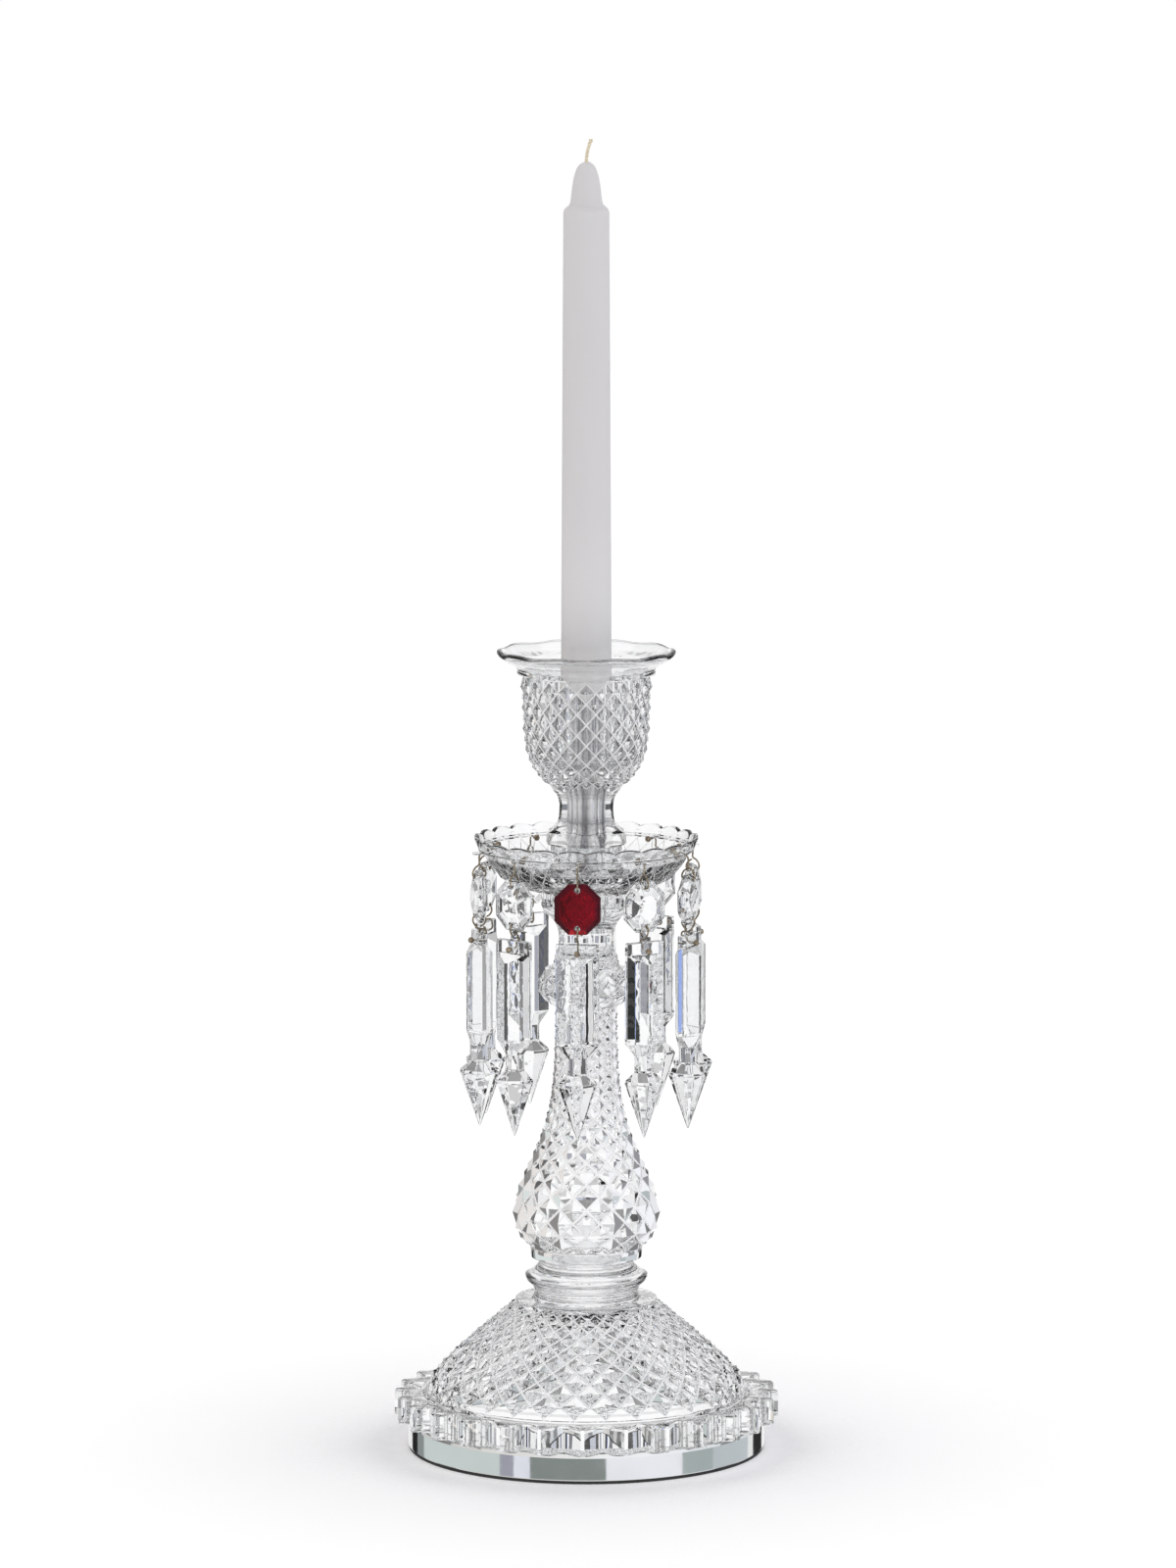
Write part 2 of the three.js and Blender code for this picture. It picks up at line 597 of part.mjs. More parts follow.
// Candle cup: a tulip on a stem of flat panels, diamond-cut to a smooth band, with a gently lobed rim
{
  const panelled = (radius, height) => {
    const panel = (2 * Math.PI) / CUP_PANELS;
    const off = (angle) => (((angle % panel) + 1.5 * panel) % panel) - panel / 2;
    return [radius, height, 0, (angle) => [radius / Math.cos(off(angle)) - radius, 0]];
  };
  const lobed = (angle) => [0, -CUP_RIM_DIP + CUP_RIM_DIP * Math.cos(CUP_RIM_LOBES * angle)];
  const band = CUP_STEM_HEIGHT + CUP_BODY_HEIGHT + 4.6;
  const top = band + CUP_BAND_HEIGHT + CUP_RIM_RISE;
  const base = CUP_BODY_RADIUS - SMALL_RISE;
  const body = through(
    [CUP_STEM_RADIUS + 6, CUP_STEM_HEIGHT + 3.6],
    [base - 3, CUP_STEM_HEIGHT + 12],
    [base - 0.4, CUP_STEM_HEIGHT + 25],
    [base, CUP_STEM_HEIGHT + CUP_BODY_HEIGHT * 0.8],
    [base + 0.8, band],
  );
  const bore = SHANK_RADIUS + FIT;
  const inner = CUP_BODY_RADIUS - CUP_WALL;
  const floor = CUP_STEM_HEIGHT + CUP_FLOOR;
  const cup = turned(
    [
      [bore, 0],
      [CUP_FOOT_RADIUS, 0],
      [CUP_FOOT_RADIUS - 0.4, CUP_FOOT_HEIGHT],
      panelled(CUP_STEM_RADIUS + 3.6, CUP_FOOT_HEIGHT + 2),
      panelled(CUP_STEM_RADIUS + 1.2, CUP_FOOT_HEIGHT + 5),
      panelled(CUP_STEM_RADIUS, CUP_FOOT_HEIGHT + 11),
      panelled(CUP_STEM_RADIUS + 0.4, CUP_STEM_HEIGHT - 7),
      panelled(CUP_STEM_RADIUS + 3, CUP_STEM_HEIGHT - 0.5),
      ...diamondRows(body, CUP_DIAMONDS, SMALL_RISE, CUP_SLENDERNESS),
      [CUP_BAND_RADIUS, band + 0.8],
      [CUP_BAND_RADIUS, band + CUP_BAND_HEIGHT],
      [(CUP_BAND_RADIUS + CUP_RIM_RADIUS) / 2, top - 0.6 * CUP_RIM_RISE, 0, lobed],
      [CUP_RIM_RADIUS - 0.6, top - CUP_RIM_EDGE, 0, lobed],
      [CUP_RIM_RADIUS, top - CUP_RIM_EDGE / 2, 0, lobed],
      [CUP_RIM_RADIUS - 0.6, top - 0.4, 0, lobed],
      [CUP_RIM_RADIUS - 1.6, top, 0, lobed],
      [CUP_RIM_RADIUS - 3, top - 0.8, 0, lobed],
      [inner + 3.2, band + 4.5],
      [inner + 2, band + 1],
      [inner - 0.6, floor + 12],
      [inner - 6, floor + 3],
      [CUP_STEM_RADIUS + 3, floor],
      [bore, floor],
    ],
    evenly(2 * CUP_DIAMONDS).map((angle) => angle - Math.PI / 2),
  );
  place("candle_cup", cup, crystal, candlestick, cupLevel);
}

// Metal fittings: the socket stands in the cup, its shank runs down to the ferrule, a nut holds them
{
  const bore = CANDLE_FOOT_RADIUS + FIT;
  const socket = turned(
    [
      [0, 0],
      [bore + SOCKET_WALL - 0.6, 0],
      [bore + SOCKET_WALL, 0.6],
      [bore + SOCKET_WALL, SOCKET_DEPTH],
      [bore + SOCKET_WALL + 0.6, SOCKET_DEPTH + 0.6],
      [bore + SOCKET_WALL, SOCKET_DEPTH + 1.2],
      [bore, SOCKET_DEPTH + 1],
      [bore, SOCKET_FLOOR],
      [0, SOCKET_FLOOR],
    ],
    evenly(20),
  );
  place("candle_socket", socket, nickel, candlestick, cupFloorLevel);
  const bottom = cupLevel - SHANK_REACH;
  const shank = turned(
    [
      [0, 0],
      [SHANK_RADIUS - 1, 0],
      [SHANK_RADIUS, 1],
      [SHANK_RADIUS, cupFloorLevel - bottom],
      [0, cupFloorLevel - bottom],
    ],
    evenly(16),
  );
  place("socket_shank", shank, nickel, candlestick, bottom);
  const nut = turned(
    [
      [SHANK_RADIUS + FIT, 0],
      [NUT_RADIUS - 0.6, 0],
      [NUT_RADIUS, 0.6],
      [NUT_RADIUS, NUT_HEIGHT],
      [SHANK_RADIUS + FIT, NUT_HEIGHT],
    ],
    evenly(12),
  );
  place("shank_nut", nut, nickel, candlestick, cupLevel - NUT_HEIGHT);
}

// Candle: a tapered dinner candle with a drawn tip, and its leaning wick
{
  const shoulder = CANDLE_LENGTH - CANDLE_TIP_HEIGHT;
  const tip = bent(
    [CANDLE_TOP_RADIUS - 3.3, shoulder + 3],
    [CANDLE_TOP_RADIUS - 5, shoulder + 16],
    [WICK_RADIUS + 0.5, CANDLE_LENGTH],
  );
  const candle = turned(
    [
      [0, 0],
      [CANDLE_FOOT_RADIUS - 0.5, 0],
      [CANDLE_FOOT_RADIUS, 0.8],
      [CANDLE_TOP_RADIUS, shoulder - 1],
      [CANDLE_TOP_RADIUS - 0.9, shoulder + 0.4],
      [CANDLE_TOP_RADIUS - 3, shoulder + 1.6],
      ...along(tip, 4),
      [0, CANDLE_LENGTH],
    ],
    evenly(18),
  );
  place("candle", candle, wax, candlestick, candleLevel);
  const wick = wire(
    [[0, 0, WICK_RADIUS], ...along((t) => [WICK_LEAN * t * t, 1 + (WICK_LENGTH - 1) * t, WICK_RADIUS], 3)],
    6,
  );
  place("wick", wick, cotton, candlestick, candleLevel + CANDLE_LENGTH);
}

// One corner list serves every section of a prism: a flat ridge in front and behind, thin sides
function prismSection(width, thickness, ridge, edge) {
  const [w, t, r, e] = [width / 2, thickness / 2, ridge / 2, edge / 2];
  return [
    [t, -r],
    [t, r],
    [e, w],
    [-e, w],
    [-t, r],
    [-t, -r],
    [-e, -w],
    [e, -w],
  ];
}

// A stone's outline in the YZ plane: a rectangle with cut corners
function stoneOutline(width, height, corner) {
  const [w, h] = [width / 2, height / 2];
  const [x, z] = [w - corner, h - corner];
  return [
    [w, z],
    [x, h],
    [-x, h],
    [-w, z],
    [-w, -z],
    [-x, -h],
    [x, -h],
    [w, -z],
  ];
}

// The open loop of a wire round a stone's edge, from its top down through the hole and up again
const loopShape = (up) =>
  [
    [0, LOOP_HEIGHT],
    [LOOP_HALF_WIDTH * 0.72, LOOP_HEIGHT * 0.66],
    [LOOP_HALF_WIDTH, LOOP_HEIGHT * 0.22],
    [LOOP_HALF_WIDTH * 0.66, 0],
    [-LOOP_HALF_WIDTH * 0.66, 0],
    [-LOOP_HALF_WIDTH, LOOP_HEIGHT * 0.22],
    [-LOOP_HALF_WIDTH * 0.72, LOOP_HEIGHT * 0.62],
  ].map(([x, z]) => [x, up * z, WIRE_RADIUS]);

// A ball on a wire's end, seen along the wire, which runs in the direction of sign along X
const ballHead = (x, z, sign) => [
  [x - sign * BALL_RADIUS, z, BALL_RADIUS * 0.4],
  [x - sign * BALL_RADIUS * 0.4, z, BALL_RADIUS],
  [x + sign * BALL_RADIUS * 0.4, z, BALL_RADIUS],
  [x + sign * BALL_RADIUS, z, WIRE_RADIUS],
];

// Pendants: a hook through the pan's wall, an octagon stone, a link, and a spear-ended prism
const hangRadius = panWallAtHole + FIT + WIRE_RADIUS;
const upperHole = holeLevel - STONE_DROP;
const stoneTop = upperHole + STONE_HOLE_INSET;
const lowerHole = stoneTop - STONE_HEIGHT + STONE_HOLE_INSET;
const prismTop = stoneTop - STONE_HEIGHT - PRISM_GAP;
const prismHole = prismTop - PRISM_HOLE_INSET;

function hookGeometry() {
  const ball = panWallAtHole - PAN_WALL - BALL_RADIUS - 2 * FIT - hangRadius;
  const drop = holeLevel - upperHole;
  return wire([
    ...ballHead(ball, drop, 1),
    [-WIRE_BEND, drop, WIRE_RADIUS],
    [0, drop - WIRE_BEND, WIRE_RADIUS],
    ...loopShape(1),
  ]);
}

function stoneGeometry() {
  const middle = (stoneTop + stoneTop - STONE_HEIGHT) / 2 - upperHole;
  const girdle = stoneOutline(STONE_WIDTH, STONE_HEIGHT, STONE_CORNER);
  const table = stoneOutline(
    STONE_WIDTH - 2 * STONE_BEVEL,
    STONE_HEIGHT - 2 * STONE_BEVEL,
    STONE_CORNER - STONE_BEVEL * (2 - Math.SQRT2),
  );
  const stone = lofted([
    [-STONE_THICKNESS / 2, table],
    [-STONE_EDGE / 2, girdle],
    [STONE_EDGE / 2, girdle],
    [STONE_THICKNESS / 2, table],
  ]);
  // Stand the stone up: its outline turns from level into the YZ plane
  stone.rotateX(Math.PI / 2).rotateZ(Math.PI / 2);
  stone.translate(0, 0, middle);
  const holes = [0, lowerHole - upperHole].map((z) => drill(STONE_HOLE_RADIUS, 2 * STONE_THICKNESS, z));
  return cut(stone, ...holes);
}

function linkGeometry() {
  const down = lowerHole - prismHole;
  const half = TAB_THICKNESS / 2;
  const behind = -(half + WIRE_BEND);
  return wire([
    ...loopShape(-1).reverse(),
    [behind * 0.8, -LOOP_HEIGHT - 0.2, WIRE_RADIUS],
    [behind, -LOOP_HEIGHT - 2, WIRE_RADIUS],
    [behind, -down + WIRE_BEND, WIRE_RADIUS],
    [behind + WIRE_BEND, -down, WIRE_RADIUS],
    ...ballHead(half + FIT + BALL_RADIUS, -down, -1).reverse(),
  ]);
}

// The prism is a bar with a flat ridge, ground to a thin tab at its top and to a neck and a spear below
function prismGeometry() {
  const top = prismTop - lowerHole;
  const bodyEnd = top - PRISM_BODY;
  const neckEnd = bodyEnd - NECK_HEIGHT;
  const shoulder = neckEnd - SPEAR_SHOULDER;
  const full = prismSection(PRISM_WIDTH, PRISM_THICKNESS, PRISM_RIDGE, PRISM_EDGE);
  const ground = (PRISM_THICKNESS - TAB_THICKNESS) / (PRISM_THICKNESS - PRISM_EDGE);
  const tabFace = PRISM_RIDGE + ground * (PRISM_WIDTH - PRISM_RIDGE);
  const tab = prismSection(PRISM_WIDTH, TAB_THICKNESS, tabFace, PRISM_EDGE);
  const eightSided = (width, panel) => prismSection(width, width, panel, panel);
  const neck = eightSided(NECK_WIDTH, NECK_WIDTH * 0.4);
  const prism = lofted([
    [shoulder - SPEAR_LENGTH, eightSided(0.6, 0.25)],
    [shoulder, eightSided(SPEAR_WIDTH, SPEAR_PANEL)],
    [neckEnd, neck],
    [bodyEnd, neck],
    [bodyEnd + PRISM_FOOT_SLOPE, full],
    [top - TAB_HEIGHT - TAB_SLOPE, full],
    [top - TAB_HEIGHT, tab],
    [top, tab],
  ]);
  return cut(prism, drill(WIRE_RADIUS + FIT, 2 * PRISM_THICKNESS, prismHole - lowerHole));
}

pendantAngles.forEach((degrees, k) => {
  const arm = new THREE.Group();
  arm.rotation.z = THREE.MathUtils.degToRad(degrees);
  candlestick.add(arm);
  const hung = new THREE.Group();
  hung.position.x = hangRadius;
  arm.add(hung);
  const number = String(k + 1).padStart(2, "0");
  place("hook_" + number, hookGeometry(), agedWire, hung, upperHole);
  place("octagon_" + number, stoneGeometry(), k === 0 ? redCrystal : crystal, hung, upperHole);
  place("link_" + number, linkGeometry(), agedWire, hung, lowerHole);
  place("prism_" + number, prismGeometry(), crystal, hung, lowerHole);
});

export default candlestick;
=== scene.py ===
"""The looks of a cut-crystal pendant candlestick, built around its fixed frame, from the floor up."""

import math

import bmesh
import bpy
from mathutils import Matrix, Vector


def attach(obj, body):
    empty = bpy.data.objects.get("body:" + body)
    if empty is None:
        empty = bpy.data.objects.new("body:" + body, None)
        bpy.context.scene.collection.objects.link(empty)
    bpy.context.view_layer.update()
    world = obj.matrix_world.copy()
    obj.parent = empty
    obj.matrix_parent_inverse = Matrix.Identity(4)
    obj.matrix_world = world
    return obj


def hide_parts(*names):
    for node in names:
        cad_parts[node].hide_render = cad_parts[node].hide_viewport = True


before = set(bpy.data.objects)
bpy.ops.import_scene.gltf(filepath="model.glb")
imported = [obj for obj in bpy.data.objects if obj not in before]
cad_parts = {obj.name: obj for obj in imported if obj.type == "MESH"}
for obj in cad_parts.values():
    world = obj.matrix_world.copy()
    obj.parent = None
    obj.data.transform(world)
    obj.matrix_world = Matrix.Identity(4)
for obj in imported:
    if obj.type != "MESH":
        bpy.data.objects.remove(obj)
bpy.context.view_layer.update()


# Plinth. A polished metal ring carries the glass foot and stands on a thin black rubber pad.
# Both are turned rings: an outline in millimetres is spun once round the upright axis, then
# brought to metres when the piece is finished.
def spun(shape, outline, columns, phase=0.0, closed=False):
    """Spins an outline of (radius, height) once round; closed joins its ends, as in a ring"""
    before = set(shape.faces)
    turn = math.radians(phase)
    start = [shape.verts.new((r * math.cos(turn), r * math.sin(turn), z)) for r, z in outline]
    pairs = zip(start, start[1:] + start[:1]) if closed else zip(start, start[1:])
    edges = [shape.edges.new(pair) for pair in pairs]
    bmesh.ops.spin(
        shape, geom=start + edges, cent=(0, 0, 0), axis=(0, 0, 1), dvec=(0, 0, 0),
        angle=2 * math.pi, steps=columns, use_merge=True, use_normal_flip=False, use_duplicate=False,
    )
    made = [face for face in shape.faces if face not in before]
    for face in made:
        face.smooth = True
    return made


def rounded(outline, corner, reach, steps=3):
    """Rounds one corner of an outline by stepping along a small arc"""
    before, at, after = (Vector(outline[i]) for i in (corner - 1, corner, corner + 1))
    start = at + (before - at).normalized() * reach
    end = at + (after - at).normalized() * reach
    arc = []
    for i in range(steps + 1):
        t = i / steps
        arc.append(tuple(start * (1 - t) ** 2 + at * 2 * t * (1 - t) + end * t**2))
    return outline[:corner] + arc + outline[corner + 1:]


def finished(name, shape, body, nodes, materials, crease=28):
    """Closes a shape, brings it to metres and makes it a piece that rides on its body"""
    bmesh.ops.remove_doubles(shape, verts=shape.verts[:], dist=0.004)
    bmesh.ops.recalc_face_normals(shape, faces=shape.faces[:])
    bmesh.ops.scale(shape, vec=(0.001, 0.001, 0.001), verts=shape.verts[:])
    mesh = bpy.data.meshes.new(name)
    shape.to_mesh(mesh)
    shape.free()
    mesh.set_sharp_from_angle(angle=math.radians(crease))
    for material in materials:
        mesh.materials.append(material)
    piece = bpy.data.objects.new(name, mesh)
    bpy.context.collection.objects.link(piece)
    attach(piece, body)
    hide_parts(*nodes)
    return piece


def surface(name, **values):
    """A material with a Principled shader whose plain values sit on its own sockets"""
    material = bpy.data.materials.new(name)
    material.use_nodes = True
    shader = material.node_tree.nodes["Principled BSDF"]
    for socket, value in values.items():
        shader.inputs[socket.replace("_", " ")].default_value = value
    return material, material.node_tree, shader


def noise(tree, scale, detail=3.0, stretch=(1, 1, 1)):
    """Noise on Object coordinates, stretched along an axis where the finish runs that way"""
    place = tree.nodes.new("ShaderNodeTexCoord")
    turn = tree.nodes.new("ShaderNodeMapping")
    turn.inputs["Scale"].default_value = stretch
    cloud = tree.nodes.new("ShaderNodeTexNoise")
    cloud.inputs["Scale"].default_value = scale
    cloud.inputs["Detail"].default_value = detail
    tree.links.new(place.outputs["Object"], turn.inputs["Vector"])
    tree.links.new(turn.outputs["Vector"], cloud.inputs["Vector"])
    return cloud.outputs["Fac"]


def ramp(tree, source, *stops, plain=False):
    """A colour ramp of (position, colour) over a value"""
    made = tree.nodes.new("ShaderNodeValToRGB")
    made.color_ramp.interpolation = "CONSTANT" if plain else "LINEAR"
    elements = made.color_ramp.elements
    while len(elements) < len(stops):
        elements.new(0.5)
    for element, (position, colour) in zip(elements, stops):
        element.position = position
    for element, (position, colour) in zip(elements, stops):
        element.color = (*colour, 1) if isinstance(colour, tuple) else (colour, colour, colour, 1)
    tree.links.new(source, made.inputs["Fac"])
    return made.outputs["Color"]


def varied(tree, shader, socket, cloud, *stops):
    """Feeds a shader's socket from a colour ramp over a value that changes over the surface"""
    tree.links.new(ramp(tree, cloud, *stops), shader.inputs[socket])


def bumped(tree, shader, height, strength, depth):
    """Lets a height pattern stand out of the surface by a depth in metres"""
    bump = tree.nodes.new("ShaderNodeBump")
    bump.inputs["Strength"].default_value = strength
    bump.inputs["Distance"].default_value = depth
    tree.links.new(height, bump.inputs["Height"])
    tree.links.new(bump.outputs["Normal"], shader.inputs["Normal"])


rubber, tree, shader = surface("black_rubber", Roughness=0.75)
varied(tree, shader, "Base Color", noise(tree, 900), (0.3, 0.012), (0.7, 0.03))
bumped(tree, shader, noise(tree, 1400), 0.3, 0.0001)

PAD_TOP = 1.4
RING_INNER, RING_OUTER = 73.5, 83.5
PAD_INSET = 0.4
pad = bmesh.new()
pad_inner, pad_outer = RING_INNER + PAD_INSET, RING_OUTER - PAD_INSET
pad_outline = [(pad_inner, 0), (pad_outer, 0), (pad_outer, PAD_TOP), (pad_inner, PAD_TOP)]
spun(pad, rounded(pad_outline, 1, 0.3), 192, closed=True)
finished("plinth_pad_rubber", pad, "stand", ["plinth_pad"], [rubber])

polished, tree, shader = surface("polished_nickel", Metallic=1.0)
varied(tree, shader, "Base Color", noise(tree, 34, 2.0), (0.3, (0.76, 0.78, 0.77)), (0.7, (0.84, 0.85, 0.85)))
varied(tree, shader, "Roughness", noise(tree, 260, 4.0), (0.35, 0.05), (0.75, 0.11))
bumped(tree, shader, noise(tree, 160, 2.0), 0.05, 0.0002)

RING_TOP = 14.38
ring = bmesh.new()
ring_outline = [(RING_INNER, PAD_TOP), (RING_OUTER, PAD_TOP), (RING_OUTER, 2), (RING_OUTER, 12)]
ring_outline += [(RING_OUTER, RING_TOP), (RING_INNER, RING_TOP)]
spun(ring, rounded(rounded(ring_outline, 4, 2.2, 5), 1, 0.5), 224, closed=True)
finished("plinth_ring_metal", ring, "stand", ["plinth_ring"], [polished])


# Foot. A hollow glass dome with 32 columns of diamonds cut into it, a smooth bead, and a skirt
# whose edge is scooped out between 28 narrow ribs. The diamonds are pyramids of four facets
# between ground lines. Higher up the stem, bonded pieces show nothing where they meet.
def bezier(start, control, end, steps):
    """Points along a curve bent by one control point"""
    points = []
    for i in range(steps + 1):
        t = i / steps
        points.append(tuple(
            start[k] * (1 - t) ** 2 + control[k] * 2 * t * (1 - t) + end[k] * t**2 for k in (0, 1)
        ))
    return points


def cut_rows(outline, columns, slenderness):
    """Divides an outline into rows whose height keeps step with the radius"""
    turns = [0.0]
    for (r0, z0), (r1, z1) in zip(outline, outline[1:]):
        turns.append(turns[-1] + 2 * math.hypot(r1 - r0, z1 - z0) / (r0 + r1))
    count = max(2, round(turns[-1] * columns / (2 * math.pi * slenderness)))
    rows, at = [], 0
    for row in range(count + 1):
        target = turns[-1] * row / count
        while at < len(turns) - 2 and turns[at + 1] < target:
            at += 1
        share = (target - turns[at]) / (turns[at + 1] - turns[at])
        rows.append(tuple(outline[at][k] + (outline[at + 1][k] - outline[at][k]) * share for k in (0, 1)))
    return rows


def lobe_share(vert, lobes, start):
    """How far round its own lobe or scoop a vertex lies, from 0 to 1"""
    return ((math.degrees(math.atan2(vert.co.y, vert.co.x)) - start) * lobes / 360) % 1


FRONT = -90
GROUND_EDGE = 0.13
GROUND_DEPTH = 0.1
LINE_INDEX, JOINT_INDEX = 1, 2


def diamond_band(shape, outline, columns, phase, slenderness, steepness, line, fine):
    """Cuts a band of pyramids with lines ground between them; fine columns meet its two ends"""
    before = set(shape.faces)
    rows = cut_rows(outline, columns, slenderness)
    band = spun(shape, rows, columns, phase)
    (r0, z0), (r1, z1) = rows[0], rows[1]
    low = min(band, key=lambda face: abs(face.calc_center_median().z - (z0 + z1) / 2))
    low.normal_update()
    middle = low.calc_center_median().xy.normalized()
    outward = Vector((middle.x * (z1 - z0), middle.y * (z1 - z0), -(r1 - r0)))
    if low.normal.dot(outward) < 0:
        bmesh.ops.reverse_faces(shape, faces=band)
    seams = [edge for edge in {e for face in band for e in face.edges} if len(edge.link_faces) == 2]
    ends = [edge for edge in {e for face in band for e in face.edges} if len(edge.link_faces) == 1]
    middles = bmesh.ops.poke(shape, faces=band, center_mode="MEAN")["verts"]
    bmesh.ops.scale(shape, vec=(1 / math.cos(math.pi / columns),) * 2 + (1,), verts=middles)
    bmesh.ops.dissolve_edges(shape, edges=seams, use_verts=False)
    faces = [face for face in shape.faces if face not in before]
    for face in faces:
        face.smooth = False
    diamonds = [face for face in faces if len(face.verts) == 4]
    bmesh.ops.inset_individual(shape, faces=diamonds, thickness=line / 2, depth=0, use_even_offset=True)
    inner = set(diamonds)
    for face in shape.faces:
        if face not in before and face not in inner and len(face.verts) == 4:
            face.material_index = LINE_INDEX
    bmesh.ops.inset_individual(
        shape, faces=diamonds, thickness=GROUND_EDGE, depth=-GROUND_DEPTH, use_even_offset=True
    )
    bmesh.ops.poke(shape, faces=diamonds, offset=steepness, center_mode="MEAN", use_relative_offset=True)
    added = bmesh.ops.bisect_edges(shape, edges=ends, cuts=fine - 1)
    for vert in {v for v in added["geom_split"] if isinstance(v, bmesh.types.BMVert)}:
        reach = min((outline[0], outline[-1]), key=lambda end: abs(end[1] - vert.co.z))[0]
        vert.co.xy = vert.co.xy.normalized() * reach


def bonded(shape, level, radius):
    """Marks the flat faces at a joint, where clear cement carries the light straight through"""
    for face in shape.faces:
        if abs(face.calc_center_median().z - level) < 0.01 and face.calc_center_median().xy.length < radius:
            face.material_index = JOINT_INDEX


hand_cut = bpy.data.node_groups.new("hand_cut", "ShaderNodeTree")
for socket, value in (("Waviness", 40.0), ("Depth", 1.0)):
    hand_cut.interface.new_socket(socket, in_out="INPUT", socket_type="NodeSocketFloat").default_value = value
hand_cut.interface.new_socket("Tint", in_out="OUTPUT", socket_type="NodeSocketColor")
hand_cut.interface.new_socket("Height", in_out="OUTPUT", socket_type="NodeSocketFloat")
inputs = hand_cut.nodes.new("NodeGroupInput")
outputs = hand_cut.nodes.new("NodeGroupOutput")
place = hand_cut.nodes.new("ShaderNodeTexCoord")
cloud = hand_cut.nodes.new("ShaderNodeTexNoise")
cloud.inputs["Detail"].default_value = 1.5
hand_cut.links.new(place.outputs["Object"], cloud.inputs["Vector"])
hand_cut.links.new(inputs.outputs["Waviness"], cloud.inputs["Scale"])
times = hand_cut.nodes.new("ShaderNodeMath")
times.operation = "MULTIPLY"
hand_cut.links.new(cloud.outputs["Fac"], times.inputs[0])
hand_cut.links.new(inputs.outputs["Depth"], times.inputs[1])
hand_cut.links.new(times.outputs["Value"], outputs.inputs["Height"])
hand_cut.links.new(
    ramp(hand_cut, cloud.outputs["Fac"], (0.35, (0.982, 0.988, 0.995)), (0.65, (0.993, 0.997, 1.0))),
    outputs.inputs["Tint"],
)


def cut_glass(name, waviness, strength, **values):
    """Clear cut glass: plain transmission, with the slight waves and tint that hand cutting leaves"""
    material, tree, shader = surface(name, Metallic=0.0, **values)
    group = tree.nodes.new("ShaderNodeGroup")
    group.node_tree = hand_cut
    group.inputs["Waviness"].default_value = waviness
    tree.links.new(group.outputs["Tint"], shader.inputs["Base Color"])
    bumped(tree, shader, group.outputs["Height"], strength, 0.0006)
    return material


crystal = cut_glass("crystal", 150.0, 0.12, Roughness=0.0, Transmission_Weight=1.0, IOR=1.53)
cut_line = cut_glass("crystal_cut_line", 400.0, 0.2, Roughness=0.3, Transmission_Weight=0.45, IOR=1.5)
joint = surface("bonded_joint", Alpha=0.0, Roughness=0.3)[0]
glass = [crystal, cut_line, joint]

FOOT_LEVEL, FOOT_TOP = 14.4, 70.8
SKIRT_RADIUS, SKIRT_TOP = 89.97, 26.8
SCOOPED_FROM = 84
SCOOPS = 28
SCOOP_DEPTH = 8
RIB = -91.1
FOOT_COLUMNS = SCOOPS * 24
DOME_CUTS = 32
# The diamonds are turned by whole columns of the skirt, so that the two meet vertex to vertex
LATTICE = RIB - 6 * 360 / FOOT_COLUMNS
foot = bmesh.new()
skirt = [(66, FOOT_LEVEL), (SKIRT_RADIUS, FOOT_LEVEL), (SKIRT_RADIUS, SKIRT_TOP), (78.4, SKIRT_TOP)]
skirt += [(77.6, 26.5), (76.8, 26.9), (76, 27.5), (75, 27.6)]
spun(foot, rounded(rounded(skirt, 2, 1.8), 1, 0.7), FOOT_COLUMNS, RIB)
for vert in foot.verts:
    reach = vert.co.xy.length
    if reach > SCOOPED_FROM:
        share = lobe_share(vert, SCOOPS, RIB)
        off_middle = min(1, abs(2 * share - 1) / (1 - 2 * SCOOPS / FOOT_COLUMNS))
        depth = SCOOP_DEPTH * (1 - off_middle**1.5)
        vert.co.xy *= (reach - depth) / reach
dome = bezier((75, 27.6), (70.2, 37), (33.2, 68.8), 60)
diamond_band(
    foot, dome, DOME_CUTS, LATTICE, slenderness=0.92, steepness=0.4, line=0.85, fine=FOOT_COLUMNS // DOME_CUTS
)
flat_top = [(33.2, 68.8), (33.2, FOOT_TOP), (25.6, FOOT_TOP), (0, FOOT_TOP)]
spun(foot, rounded(flat_top, 1, 0.5), FOOT_COLUMNS, LATTICE)
hollow = [(66, FOOT_LEVEL), (66, 16), (65.6, 20), (64.8, 24)]
hollow += bezier((63, 26.8), (58, 34.4), (25.8, 58.4), 16) + [(18, 58.9), (0, 59)]
spun(foot, hollow, FOOT_COLUMNS, RIB)
finished("foot_glass", foot, "stand", ["foot"], glass)


# Base knop. Smooth glass between the foot and the stem, with a waist, a crisp flange and a neck.
# It is turned from one soft curve through the widths of the real one.
def through(points, steps=6):
    """A soft curve through the points of an outline"""
    points = [Vector(point) for point in points]
    padded = [2 * points[0] - points[1]] + points + [2 * points[-1] - points[-2]]
    curve = []
    for a, b, c, d in zip(padded, padded[1:], padded[2:], padded[3:]):
        for i in range(steps):
            t = i / steps
            bend, twist = 2 * a - 5 * b + 4 * c - d, 3 * b - a - 3 * c + d
            curve.append(tuple(0.5 * (2 * b + (c - a) * t + bend * t**2 + twist * t**3)))
    return curve + [tuple(points[-1])]


